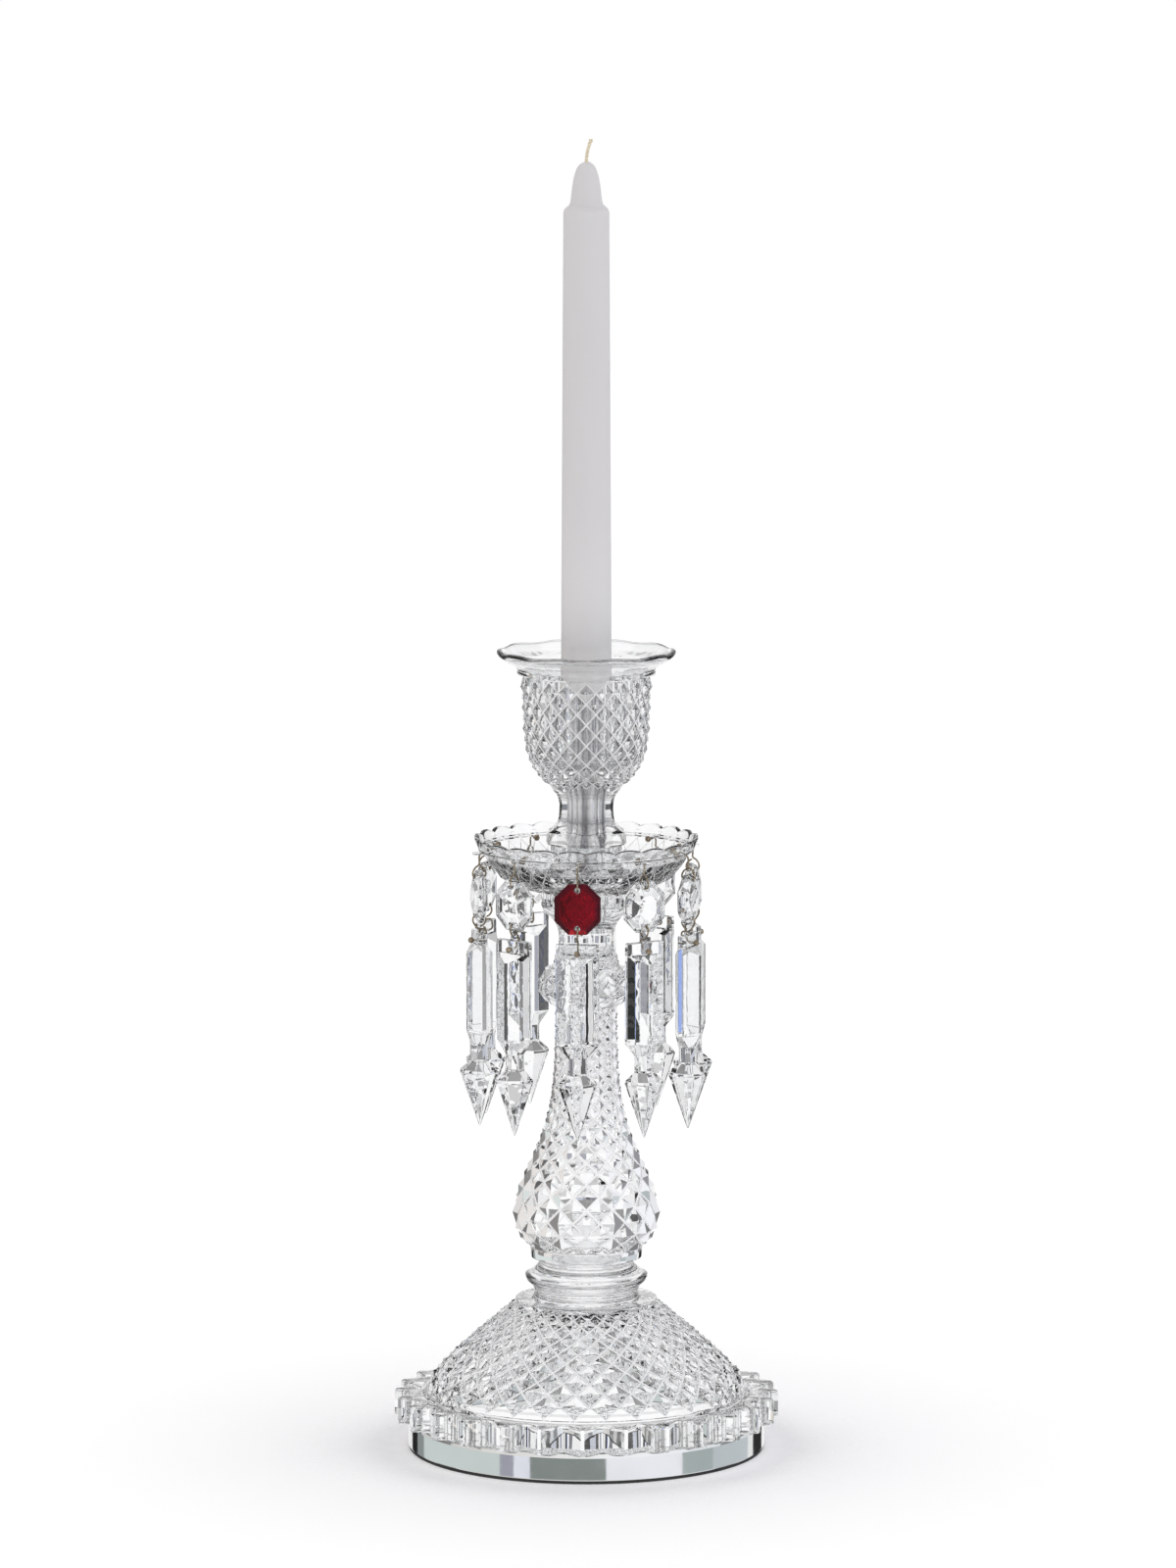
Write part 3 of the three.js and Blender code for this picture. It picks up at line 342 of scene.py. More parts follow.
KNOP_LEVEL, KNOP_TOP = 70.83, 90.47
knop = bmesh.new()
swell = through([(25.6, KNOP_LEVEL), (24.5, 72.4), (24.2, 74.6), (25.4, 77.2), (27.6, 79.2), (28.6, 81)])
neck = through([(28.6, 82.2), (26.4, 83.4), (23.8, 85.6), (21.9, 87.9), (21.9, 89.4), (23.3, KNOP_TOP)])
spun(knop, [(0, KNOP_LEVEL)] + swell + neck + [(0, KNOP_TOP)], 224)
finished("base_knop_glass", knop, "stand", ["base_knop"], glass, crease=40)


# Stem. A baluster of solid glass on a smooth disc, whose belly falls away to a slim neck, with
# sixteen columns of diamonds that grow smaller as the stem does.
STEM_LEVEL, DISC_TOP, STEM_TOP = 90.5, 95.6, 208.4
BELLY_HEIGHT = 15.4
DISC_REACH, BELLY_REACH, NECK_REACH = 27.1, 34.8, 14.7
FALL_LENGTH, FALL_POWER = 34.7, 1.75
CUT_DEPTH = 1.4


def stem_outline(height):
    """The baluster's radius and level at a height over its disc, less the depth of the cuts"""
    above = height - BELLY_HEIGHT
    if above < 0:
        reach = BELLY_REACH - (BELLY_REACH - DISC_REACH) * abs(above / BELLY_HEIGHT) ** 3
    else:
        reach = NECK_REACH + (BELLY_REACH - NECK_REACH) * math.exp(-((above / FALL_LENGTH) ** FALL_POWER))
    return reach - CUT_DEPTH * reach / BELLY_REACH, DISC_TOP + height


stem = bmesh.new()
stem_curve = [stem_outline((STEM_TOP - DISC_TOP) * i / 220) for i in range(221)]
disc = [(0, STEM_LEVEL), (23.3, STEM_LEVEL), (26.3, STEM_LEVEL), (26.3, DISC_TOP), stem_curve[0]]
spun(stem, rounded(rounded(disc, 3, 0.7), 2, 0.8), 224, FRONT)
diamond_band(stem, stem_curve, 16, FRONT, slenderness=1.0, steepness=0.42, line=0.8, fine=14)
spun(stem, [stem_curve[-1], (0, STEM_TOP)], 224, FRONT)
bonded(stem, STEM_TOP, 14)
finished("baluster_glass", stem, "stand", ["baluster"], glass)


# Upper knop. A glass bulb with twelve columns of larger leaf-like cuts, and a slim cut collar.
BULB_TOP = 237.8
bulb = bmesh.new()
spun(bulb, [(0, STEM_TOP), (13.9, STEM_TOP), (14.7, 209)], 96, FRONT)
leaf = through(
    [(14.7, 209), (18.6, 211.2), (21.4, 213.8), (23.1, 217.4), (23.3, 220.6), (21.6, 224.6), (19.2, 226.8)]
)
diamond_band(bulb, leaf, 12, FRONT, slenderness=1.1, steepness=0.32, line=0.7, fine=8)
spun(bulb, through([(19.2, 226.8), (16.8, 227.6), (15.4, 228.6)]), 96, FRONT)
collar = [(15.4, 228.6), (14.2, 234)]
diamond_band(bulb, collar, 12, FRONT, slenderness=0.7, steepness=0.3, line=0.5, fine=8)
spun(bulb, through([(14.2, 234), (13.3, 235.8), (13, BULB_TOP)]) + [(0, BULB_TOP)], 96, FRONT)
bonded(bulb, STEM_TOP, 14)
bonded(bulb, BULB_TOP, 13)
finished("upper_knop_glass", bulb, "stand", ["upper_knop"], glass)


# Receiver. A glass trumpet with a fluted band at its mouth, bored for the candle cup's shank.
# A nickel ferrule lines the bore, so that metal turns in metal.
BORE_FLOOR, BORE_RADIUS = 244.6, 7.6
FLUTES, FLUTE_DEPTH = 30, 0.03
receiver = bmesh.new()
trumpet = [(13, BULB_TOP), (13, 243), (13.9, 247), (16.4, 250.8), (19.4, 253.6)]
trumpet = [(0, BULB_TOP)] + through(trumpet + [(20.8, 255.8), (21.1, 257.4), (20.6, 259)])
mouth = [(20.9, 259.4), (21.1, 260), (21.1, 263.2), (20.6, 263.9), (BORE_RADIUS, 263.9)]
spun(receiver, trumpet + mouth + [(BORE_RADIUS, BORE_FLOOR), (0, BORE_FLOOR)], 240)
for vert in receiver.verts:
    if vert.co.z > 259.2 and vert.co.xy.length > 12:
        turn = math.atan2(vert.co.y, vert.co.x)
        vert.co.xy *= 1 - FLUTE_DEPTH * abs(math.cos(FLUTES / 2 * turn)) ** 4
bonded(receiver, BULB_TOP, 13)
finished("receiver_glass", receiver, "stand", ["receiver"], glass)

SHANK_BORE = 6.1
ferrule = bmesh.new()
sleeve = [(SHANK_BORE, BORE_FLOOR), (7.2, BORE_FLOOR), (7.2, 263.6), (SHANK_BORE, 263.6)]
spun(ferrule, rounded(sleeve, 2, 0.3), 64, closed=True)
finished("ferrule_metal", ferrule, "stand", ["ferrule"], [polished])


# Drip pan. A glass dish with tall diamonds cut under it, a groove, and a scalloped rim of 24
# lobes. A boss in the middle carries the cup, and ten holes in its wall hold the pendants.
PENDANTS = 10
pendant_turns = [-94.5 + 360 / PENDANTS * k for k in range(PENDANTS)]
PAN_LOBES = 24
PAN_LEVEL, RIM_FOOT = 264.05, 283.2
RIM_INNER, RIM_OUTER = 45, 49.4
PAN_BORE = 6.5
HOOK_LEVEL, PIN_HOLE = 282.6, 0.8


def drilled(piece, drills):
    """Takes drills, in millimetres, out of a finished piece and leaves a plain mesh"""
    tool = bpy.data.meshes.new("drills")
    bmesh.ops.recalc_face_normals(drills, faces=drills.faces[:])
    bmesh.ops.scale(drills, vec=(0.001, 0.001, 0.001), verts=drills.verts[:])
    drills.to_mesh(tool)
    drills.free()
    cutter = bpy.data.objects.new("drills", tool)
    bpy.context.collection.objects.link(cutter)
    hole = piece.modifiers.new("holes", "BOOLEAN")
    hole.operation = "DIFFERENCE"
    hole.solver = "EXACT"
    hole.object = cutter
    bpy.context.view_layer.update()
    made = bpy.data.meshes.new_from_object(piece.evaluated_get(bpy.context.evaluated_depsgraph_get()))
    piece.modifiers.remove(hole)
    bpy.data.objects.remove(cutter)
    old, piece.data = piece.data, made
    bpy.data.meshes.remove(old)


pan = bmesh.new()
under = bezier((21.5, PAN_LEVEL), (42.5, 265.5), (48.9, 282.2), 60)
spun(pan, [(PAN_BORE, PAN_LEVEL), (21.5, PAN_LEVEL)], 288, FRONT)
diamond_band(pan, under, 36, FRONT, slenderness=2.0, steepness=0.12, line=0.5, fine=8)
wall = [(48.9, 282.2), (50, 282.7), (50.3, 283.1), (49.8, 283.5), (50.6, 284), (51.6, 286), (52.3, 288.7)]
lip = [(52.1, 289.15), (51.2, 289.2), (50.2, 288.6)]
dish = [(50.2, 288.6), (48.2, 284.6), (46.9, 282.6), (44.4, 279.4), (38, 273.8), (28, 271), (20, 270.4)]
dish = through(dish + [(17.5, 271)])
boss = [(17.2, 272), (16.5, 285.1), (16, 285.6), (9.7, 285.6), (9.7, 281.2)]
boss += [(PAN_BORE, 281.2), (PAN_BORE, PAN_LEVEL)]
spun(pan, wall + lip + dish + boss, 288, FRONT)
for vert in pan.verts:
    reach = vert.co.xy.length
    if vert.co.z > RIM_FOOT and reach > RIM_INNER:
        share = lobe_share(vert, PAN_LOBES, FRONT)
        dip = abs(2 * share - 1) ** 2.2 * (vert.co.z - RIM_FOOT) / 6
        if reach > RIM_OUTER:
            vert.co.xy *= 1 - 0.9 * dip / reach
        vert.co.z -= 1.6 * dip
piece = finished("bobeche_glass", pan, "drip_pan", ["bobeche"], glass)


def drill(shape, turn, reach, level, radius, depth, sides):
    """Adds a round drill that lies along the radius at a turn, a reach and a level"""
    place = Matrix.Rotation(math.radians(turn), 4, "Z") @ Matrix.Translation((reach, 0, level))
    place = place @ Matrix.Rotation(math.pi / 2, 4, "Y")
    bmesh.ops.create_cone(
        shape, cap_ends=True, segments=sides, radius1=radius, radius2=radius, depth=depth, matrix=place
    )


drills = bmesh.new()
for turn in pendant_turns:
    drill(drills, turn, 49, HOOK_LEVEL, PIN_HOLE, depth=10, sides=16)
drilled(piece, drills)


# Candle cup. A tulip of glass on a stem of eight flat panels, cut with twenty columns of
# diamonds up to a smooth band, and a flared rim with ten gentle lobes.
def panelled(vert, sides, phase):
    """How far a vertex moves out from a round stem onto the flat panels that stand round it"""
    turn = math.atan2(vert.co.y, vert.co.x) - math.radians(phase)
    step = 2 * math.pi / sides
    return 1 / math.cos((turn + step / 2) % step - step / 2)


CUP_LEVEL, CUP_FLOOR = 285.65, 321.6
PANELS = 8
PANELS_FROM, PANELS_TO = 290, 312.5
FLARE_FOOT, FLARE_RISE, FLARE_LOBES = 368, 8.5, 10
cup = bmesh.new()
cup_foot = rounded([(SHANK_BORE, CUP_LEVEL), (18.7, CUP_LEVEL), (18.5, 289.4), (17.4, 291.4)], 1, 0.6)
cup_stem = through(
    [(17.4, 291.4), (15.2, 293), (13.4, 295.8), (12.6, 300.4), (12.6, 305), (13.4, 308.6), (15.4, 311.2)]
)
tulip = [(17.2, 313.2), (20, 315.9), (24.5, 321.8), (26.9, 328.6), (28.1, 338), (28.3, 348), (28.6, 356)]
cup_curve = through(tulip + [(29.6, 364.2)], 20)
spun(cup, cup_foot + cup_stem[1:] + [cup_curve[0]], 320, FRONT)
for vert in cup.verts:
    reach = vert.co.xy.length
    if PANELS_FROM < vert.co.z < PANELS_TO and reach > 8:
        vert.co.xy *= panelled(vert, PANELS, FRONT)
diamond_band(cup, cup_curve, 20, FRONT, slenderness=1.08, steepness=0.48, line=0.75, fine=16)
rim = through([(32.2, 365.2), (32.3, 367.6), (34.2, 369.4), (38, 371.6), (40.9, 373.6)])
lip = through([(41.5, 374.6), (41.55, 375.6), (40.9, 376.4), (39.8, 376.5), (38.8, 375.8)], 3)
inside = [(36, 373.4), (31, 368.9), (28.4, 362), (27.2, 350), (26.4, 336), (24, 327), (19, 322.6)]
inside = through(inside + [(15.6, CUP_FLOOR)])
bore = [(SHANK_BORE, CUP_FLOOR), (SHANK_BORE, CUP_LEVEL)]
spun(cup, [cup_curve[-1]] + rim + lip + inside + bore, 320, FRONT)
for vert in cup.verts:
    if vert.co.z > FLARE_FOOT:
        turn = math.atan2(vert.co.y, vert.co.x)
        share = (vert.co.z - FLARE_FOOT) / FLARE_RISE
        vert.co.z -= share * (0.35 - 0.35 * math.cos(FLARE_LOBES * turn))
        vert.co.xy *= 1 - 0.006 * share * (1 - math.cos(FLARE_LOBES * turn))
# The bore shows nothing of its own, so that the shank is seen plainly through the stem
for face in cup.faces:
    if face.calc_center_median().xy.length < SHANK_BORE + 0.1:
        face.material_index = JOINT_INDEX
finished("candle_cup_glass", cup, "cup", ["candle_cup"], glass)


# Metal fittings. A socket stands in the cup, its shank runs down through the glass stem to the
# ferrule, and a nut under the cup clamps the glass between them. Their satin finish shows as
# grey through the glass, with painted dark and bright reflection streaks running up its colour.
satin_painted_streaks, tree, shader = surface("satin_metal", Metallic=0.85)
# Brushed grain in the colour, stretched upright and strengthened into painted reflection: dark and bright
# streaks
varied(
    tree, shader, "Base Color", noise(tree, 420, 2.0, (1, 1, 0.02)),
    (0.38, (0.3, 0.3, 0.32)), (0.5, 0.66), (0.62, (0.96, 0.96, 0.98)),
)
varied(tree, shader, "Roughness", noise(tree, 900, 2.0, (1, 1, 0.05)), (0.3, 0.14), (0.7, 0.26))
bumped(tree, shader, noise(tree, 1600, 2.0, (1, 1, 0.05)), 0.15, 0.0001)

SOCKET_FLOOR, SOCKET_BORE = 323.6, 12.25
socket = bmesh.new()
outer = [(0, CUP_FLOOR), (12.5, CUP_FLOOR), (13.15, 322.3), (13.15, 352.6), (13.75, 353.2), (13.6, 353.7)]
inner = [(12.9, 353.8), (SOCKET_BORE, 353.2), (SOCKET_BORE, SOCKET_FLOOR), (0, SOCKET_FLOOR)]
spun(socket, outer + inner, 96)
finished("candle_socket_metal", socket, "cup", ["candle_socket"], [satin_painted_streaks])

SHANK_RADIUS, SHANK_FOOT, SHANK_TOP = 5.75, 246.6, 321.55
shank = bmesh.new()
rod = [(0, SHANK_FOOT), (SHANK_RADIUS, SHANK_FOOT), (SHANK_RADIUS, SHANK_TOP), (0, SHANK_TOP)]
spun(shank, rounded(rod, 1, 1.0), 64)
finished("socket_shank_metal", shank, "cup", ["socket_shank"], [satin_painted_streaks])

nut = bmesh.new()
nut_outline = [(SHANK_BORE, 281.9), (9, 281.9), (9, 285.6), (SHANK_BORE, 285.6)]
spun(nut, rounded(nut_outline, 1, 0.5), 12, closed=True)
finished("shank_nut_metal", nut, "cup", ["shank_nut"], [polished], crease=12)


# Candle. A dipped dinner candle of pale wax, tapered, with a soft shoulder and a drawn tip. Its
# wick is three strands of cotton twisted together, leaning over and frayed at the end. The foot of
# the candle, down in the cup, is given a paler white than the rest as painted light.
wax, tree, shader = surface("wax", Subsurface_Weight=0.25, Subsurface_Scale=0.004, Specular_IOR_Level=0.35)
shader.inputs["Subsurface Radius"].default_value = (1.0, 0.9, 0.85)


def between(tree, factor, first, second):
    """Two colours mixed: the first where the factor is 0, the second where it is 1"""
    node = tree.nodes.new("ShaderNodeMix")
    node.data_type = "RGBA"
    tree.links.new(factor, node.inputs["Factor"])
    tree.links.new(first, node.inputs["A"])
    tree.links.new(second, node.inputs["B"])
    return node.outputs["Result"]


place = tree.nodes.new("ShaderNodeTexCoord")
split = tree.nodes.new("ShaderNodeSeparateXYZ")
tree.links.new(place.outputs["Object"], split.inputs["Vector"])
# Painted light: the wax turns paler below the cup's rim and keeps a little of it a short way above
painted_light_in_cup = ramp(tree, split.outputs["Z"], (0.364, 1.0), (0.378, 0.2), (0.44, 0.0))
cloud = noise(tree, 22, 3.0, (1, 1, 0.25))
wax_tone = ramp(tree, cloud, (0.3, (0.615, 0.6, 0.605)), (0.7, (0.65, 0.64, 0.65)))
painted_light_wax = ramp(tree, cloud, (0.3, (0.95, 0.94, 0.93)), (0.7, (0.98, 0.975, 0.965)))
tree.links.new(between(tree, painted_light_in_cup, wax_tone, painted_light_wax), shader.inputs["Base Color"])
varied(tree, shader, "Roughness", noise(tree, 90, 3.0, (1, 1, 0.3)), (0.3, 0.42), (0.7, 0.6))
bumped(tree, shader, noise(tree, 120, 3.0, (1, 1, 0.2)), 0.25, 0.0004)

CANDLE_FOOT, CANDLE_TOP = 323.62, 602
candle = bmesh.new()
side = [(0, CANDLE_FOOT), (11.4, CANDLE_FOOT), (11.86, 324.3), (11.6, 400), (11.1, 490), (10.62, 570)]
side += [(10.6, 577)]
shoulder = [(10.6, 578.6), (10.2, 580), (9, 581.2), (7.9, 582.2), (7.3, 584), (6.7, 589), (5.7, 595)]
shoulder = through(shoulder + [(4, 599.6), (1.8, 601.6)])
spun(candle, side + shoulder + [(0, CANDLE_TOP)], 96)
for vert in candle.verts:
    if vert.co.z > 576 and vert.co.xy.length > 1:
        turn = math.atan2(vert.co.y, vert.co.x)
        vert.co.z += 0.35 * math.sin(2 * turn + 0.6) + 0.2 * math.sin(5 * turn) - 0.3
finished("candle_wax", candle, "candle_and_wick", ["candle"], [wax], crease=60)

cotton, tree, shader = surface("cotton_wick", Roughness=0.9)
varied(tree, shader, "Base Color", noise(tree, 1500, 4.0), (0.3, (0.55, 0.46, 0.3)), (0.7, (0.86, 0.8, 0.66)))
bumped(tree, shader, noise(tree, 3000), 0.6, 0.0002)


def wire(path, radius, round_off=3):
    """A round wire along a soft curve through points in millimetres, as a shape"""
    curve = bpy.data.curves.new("wire", "CURVE")
    curve.dimensions = "3D"
    curve.bevel_depth = radius
    curve.bevel_resolution = round_off
    curve.resolution_u = 6
    curve.use_fill_caps = True
    spline = curve.splines.new("BEZIER")
    spline.bezier_points.add(len(path) - 1)
    for knot, point in zip(spline.bezier_points, path):
        knot.co = point
        knot.handle_left_type = knot.handle_right_type = "AUTO"
    holder = bpy.data.objects.new("wire", curve)
    mesh = bpy.data.meshes.new_from_object(holder)
    shape = bmesh.new()
    shape.from_mesh(mesh)
    bpy.data.objects.remove(holder)
    bpy.data.curves.remove(curve)
    bpy.data.meshes.remove(mesh)
    for face in shape.faces:
        face.smooth = True
    return shape


def gathered(shapes):
    """Several shapes in one"""
    whole = bmesh.new()
    for shape in shapes:
        mesh = bpy.data.meshes.new("part")
        shape.to_mesh(mesh)
        shape.free()
        whole.from_mesh(mesh)
        bpy.data.meshes.remove(mesh)
    return whole


STRANDS, STRAND_RADIUS = 3, 0.42
FRAYS, FRAY_RADIUS = 5, 0.12
strands = []
for strand in range(STRANDS):
    path = []
    for i in range(17):
        t = i / 16
        turn = 2 * math.pi * (strand / STRANDS + 2.2 * t)
        spread = STRAND_RADIUS + 0.25 * max(0, t - 0.8) / 0.2
        path.append((2.3 * t * t + spread * math.cos(turn), spread * math.sin(turn), 601.2 + 10.9 * t))
    strands.append(wire(path, STRAND_RADIUS))
for fray in range(FRAYS):
    turn = 2 * math.pi * fray / FRAYS + 0.4
    start = Vector((2.1, 0, 611))
    away = Vector((0.55 * math.cos(turn) + 0.1, 0.6 * math.sin(turn), 0.0))
    ends = [start + away * out + Vector((0, 0, up)) for out, up in ((0.7, 0.7), (1.3, 1.2))]
    strands.append(wire([start] + ends, FRAY_RADIUS, 1))
finished("wick_cotton", gathered(strands), "candle_and_wick", ["wick"], [cotton])


# Pendants. Ten chains hang round the pan: a ball-headed hook through its wall, an octagon stone
# drilled at top and bottom, a link, and a spear-ended prism held by the link's ball head. The
# front octagon is ruby red. Each piece is made hanging at the right, then turned to its place.
HANG = 51.054
UPPER_HOLE, LOWER_HOLE, PRISM_HOLE = 271.1, 253.5, 242.0
WIRE_RADIUS, BALL_RADIUS = 0.42, 1.4
STONE_MIDDLE, STONE_HOLE = 262.3, 1.45
aged, tree, shader = surface("aged_wire", Metallic=0.9)
varied(
    tree, shader, "Base Color", noise(tree, 700, 4.0),
    (0.3, (0.16, 0.12, 0.08)), (0.55, (0.36, 0.3, 0.22)), (0.8, (0.6, 0.52, 0.4)),
)
varied(tree, shader, "Roughness", noise(tree, 500), (0.3, 0.25), (0.7, 0.55))
bumped(tree, shader, noise(tree, 1800), 0.4, 0.0001)

# The red of the front stone's table, with a darker copy on its upper and side bevels as painted shade, and a
# brighter copy on its lower bevels as painted light
PAINTED_SHADE_INDEX, PAINTED_LIGHT_INDEX = 1, 2
rubies = []
for name, thin, thick in (
    ("ruby_glass", (0.17, 0.0005, 0.005), (0.27, 0.001, 0.01)),
    ("ruby_glass_painted_shade", (0.03, 0.001, 0.006), (0.055, 0.002, 0.01)),
    ("ruby_glass_painted_light", (0.52, 0.012, 0.02), (0.72, 0.03, 0.04)),
):
    red = cut_glass(
        name, 120.0, 0.05, Roughness=0.0, Transmission_Weight=1.0, IOR=1.55, Specular_Tint=(1, 0.2, 0.25, 1)
    )
    tree = red.node_tree
    varied(tree, tree.nodes["Principled BSDF"], "Base Color", noise(tree, 60, 2.0), (0.3, thin), (0.7, thick))
    rubies.append(red)


def hung(name, make, turn, body, node, materials, crease=28):
    """Makes a pendant's piece and turns it to its place round the pan"""
    shape = make()
    around = Matrix.Rotation(math.radians(turn), 3, "Z")
    bmesh.ops.rotate(shape, cent=(0, 0, 0), matrix=around, verts=shape.verts[:])
    return finished(name, shape, body, [node], materials, crease)


def ball(x, z):
    """The round head of a wire"""
    shape = bmesh.new()
    place = Matrix.Translation((x, 0, z))
    bmesh.ops.create_uvsphere(shape, u_segments=16, v_segments=10, radius=BALL_RADIUS, matrix=place)
    for face in shape.faces:
        face.smooth = True
    return shape


def loop(z, up):
    """An open wire loop round a stone's edge, from its top down through the hole and up again"""
    return [(HANG + x, y, z + up * rise) for x, y, rise in (
        (0, 0, 6.4), (2.0, 0.1, 4.6), (3.1, 0.2, 1.8), (2.2, 0.2, 0.1), (0, 0, -0.1),
        (-2.2, -0.1, 0.1), (-3.1, -0.1, 1.8), (-2.2, -0.2, 4.2), (-0.5, -0.5, 5.4))]


def make_hook():
    """A hook: its head inside the pan, a wire out through the wall and down, and the loop"""
    head = HANG - 6.5
    shaft = [(head, HOOK_LEVEL), (HANG - 2.4, HOOK_LEVEL), (HANG - 0.6, 282.2), (HANG, 280.9), (HANG, 279)]
    path = [(x, 0, z) for x, z in shaft] + loop(UPPER_HOLE, 1)
    return gathered([wire(path, WIRE_RADIUS), ball(head, HOOK_LEVEL)])


def make_link():
    """A link: the loop, a wire down behind the prism and through it, and its head in front"""
    front, behind = HANG + 3.95, HANG - 3.4
    shaft = [(HANG - 2.8, 246.8), (behind, 244.8), (behind, 243.2), (behind + 1, 242.1)]
    shaft += [(x, PRISM_HOLE) for x in (HANG - 1.4, HANG + 1, front)]
    path = loop(LOWER_HOLE, -1)[::-1] + [(x, 0, z) for x, z in shaft]
    return gathered([wire(path, WIRE_RADIUS), ball(front, PRISM_HOLE)])


def octagon(width, height, corner, x, z):
    """The eight corners of a stone's outline, standing across the chain"""
    w, h = width / 2, height / 2
    y, up = w - corner, h - corner
    corners = ((w, up), (y, h), (-y, h), (-w, up), (-w, -up), (-y, -h), (y, -h), (w, -up))
    return [(x, a, z + b) for a, b in corners]


def bevelled(shape, edges, width):
    """Takes the sharpness off edges"""
    bmesh.ops.bevel(
        shape, geom=edges, offset=width, offset_type="OFFSET", affect="EDGES",
        segments=1, profile=0.5, material=-1,
    )


def make_stone():
    """An octagon stone: a girdle, two tiers and a table in front, one tier and a point behind"""
    shape = bmesh.new()
    corners = octagon(21.3, 23.6, 6.4, HANG - 0.8, STONE_MIDDLE)
    girdle = shape.faces.new([shape.verts.new(point) for point in corners])
    side = bmesh.ops.extrude_face_region(shape, geom=[girdle])
    front = [item for item in side["geom"] if isinstance(item, bmesh.types.BMFace)][0]
    bmesh.ops.translate(shape, vec=(1.6, 0, 0), verts=front.verts[:])
    for face, depth, tiers in ((front, 1, ((2.6, 1.5), (3.6, 1.0))), (girdle, -1, ((2.4, 1.4),))):
        for inset, rise in tiers:
            bmesh.ops.inset_individual(shape, faces=[face], thickness=inset, depth=0, use_even_offset=True)
            bmesh.ops.translate(shape, vec=(depth * rise, 0, 0), verts=face.verts[:])
    bmesh.ops.poke(shape, faces=[girdle], center_mode="MEAN")
    peak = min(shape.verts, key=lambda vert: (vert.co - Vector((HANG - 2.2, 0, STONE_MIDDLE))).length)
    peak.co.x = HANG - 3.3
    bmesh.ops.recalc_face_normals(shape, faces=shape.faces[:])
    bevelled(shape, shape.edges[:], 0.12)
    shape.normal_update()
    # Lit and shaded copies of the red: faces turned up or sideways take the painted shade, faces turned down
    # the painted light
    for face in shape.faces:
        if abs(face.normal.y) > 0.3 or face.normal.z > 0.3:
            face.material_index = PAINTED_SHADE_INDEX
        elif face.normal.z < -0.3:
            face.material_index = PAINTED_LIGHT_INDEX
    return shape


def prism_ring(shape, z, width, thickness, ridge, edge):
    """The edges of a prism's level section: flat ridges in front and behind, thin sides"""
    w, t, r, e = width / 2, thickness / 2, ridge / 2, edge / 2
    corners = ((t, -r), (t, r), (e, w), (-e, w), (-t, r), (-t, -r), (-e, -w), (e, -w))
    verts = [shape.verts.new((HANG + x, y, z)) for x, y in corners]
    return [shape.edges.new(pair) for pair in zip(verts, verts[1:] + verts[:1])]


PRISM_TIP, PRISM_WIDTH = 153.6, 19.8


def make_prism():
    """A prism: a spear's point and neck, the long facets, and a flat head"""
    shape = bmesh.new()
    rings = [prism_ring(shape, *section) for section in (
        (PRISM_TIP, 1, 1, 0.4, 0.4), (180.2, 17.5, 17.5, 6.2, 6.2), (181.4, 17, 17, 6, 6),
        (185.2, 8.6, 8.6, 3.4, 3.4), (193, 8.4, 8.4, 3.4, 3.4), (199, PRISM_WIDTH, 12, 2.4, 2),
        (236.2, PRISM_WIDTH, 12, 2.4, 2), (239.9, PRISM_WIDTH, 4.4, 15.6, 2),
        (245.9, PRISM_WIDTH, 4.2, 15.6, 2),
    )]
    for low, high in zip(rings, rings[1:]):
        bmesh.ops.bridge_loops(shape, edges=low + high)
    bmesh.ops.edgeloop_fill(shape, edges=rings[-1])
    tip = list({vert for edge in rings[0] for vert in edge.verts})
    bmesh.ops.pointmerge(shape, verts=tip, merge_co=(HANG, 0, PRISM_TIP))
    bmesh.ops.recalc_face_normals(shape, faces=shape.faces[:])
    crisp = [e for e in shape.edges if e.calc_length() > 1.5 and e.calc_face_angle(0) > 0.12]
    bevelled(shape, crisp, 0.16)
    return shape


def threaded(piece, turn, radius, *levels):
    """Drills a pendant's holes through a finished piece"""
    rods = bmesh.new()
    for level in levels:
        drill(rods, turn, HANG, level, radius, depth=20, sides=20)
    drilled(piece, rods)


for k, turn in enumerate(pendant_turns):
    number = f"{k + 1:02d}"
    hung("hook_wire_" + number, make_hook, turn, "drip_pan", "hook_" + number, [aged], 60)
    stone = hung(
        "octagon_glass_" + number, make_stone, turn, "drop_" + number, "octagon_" + number,
        [crystal] * 3 if k else rubies, 5,
    )
    threaded(stone, turn, STONE_HOLE, UPPER_HOLE, LOWER_HOLE)
    hung("link_wire_" + number, make_link, turn, "spear_" + number, "link_" + number, [aged], 60)
    prism = hung(
        "prism_glass_" + number, make_prism, turn, "spear_" + number, "prism_" + number,
        [crystal], 5,
    )
    threaded(prism, turn, PIN_HOLE, PRISM_HOLE)


# Room. A pale floor whose colour is darkened near the object as painted shadow, soft light from
# all round, and a studio that only glass and metal show: white, with the darker strips and patches
# that give cut glass its contrast. The camera stands where the photograph was taken from.
floor_mesh = bmesh.new()
bmesh.ops.create_grid(floor_mesh, x_segments=1, y_segments=1, size=6.0)
mesh = bpy.data.meshes.new("floor")
floor_mesh.to_mesh(mesh)
floor_mesh.free()
pale, tree, shader = surface("pale_floor", Roughness=0.9, Specular_IOR_Level=0.0)
painted_shadow_nearness = tree.nodes.new("ShaderNodeAmbientOcclusion")
painted_shadow_nearness.inputs["Distance"].default_value = 0.25
painted_shadow_nearness.samples = 4
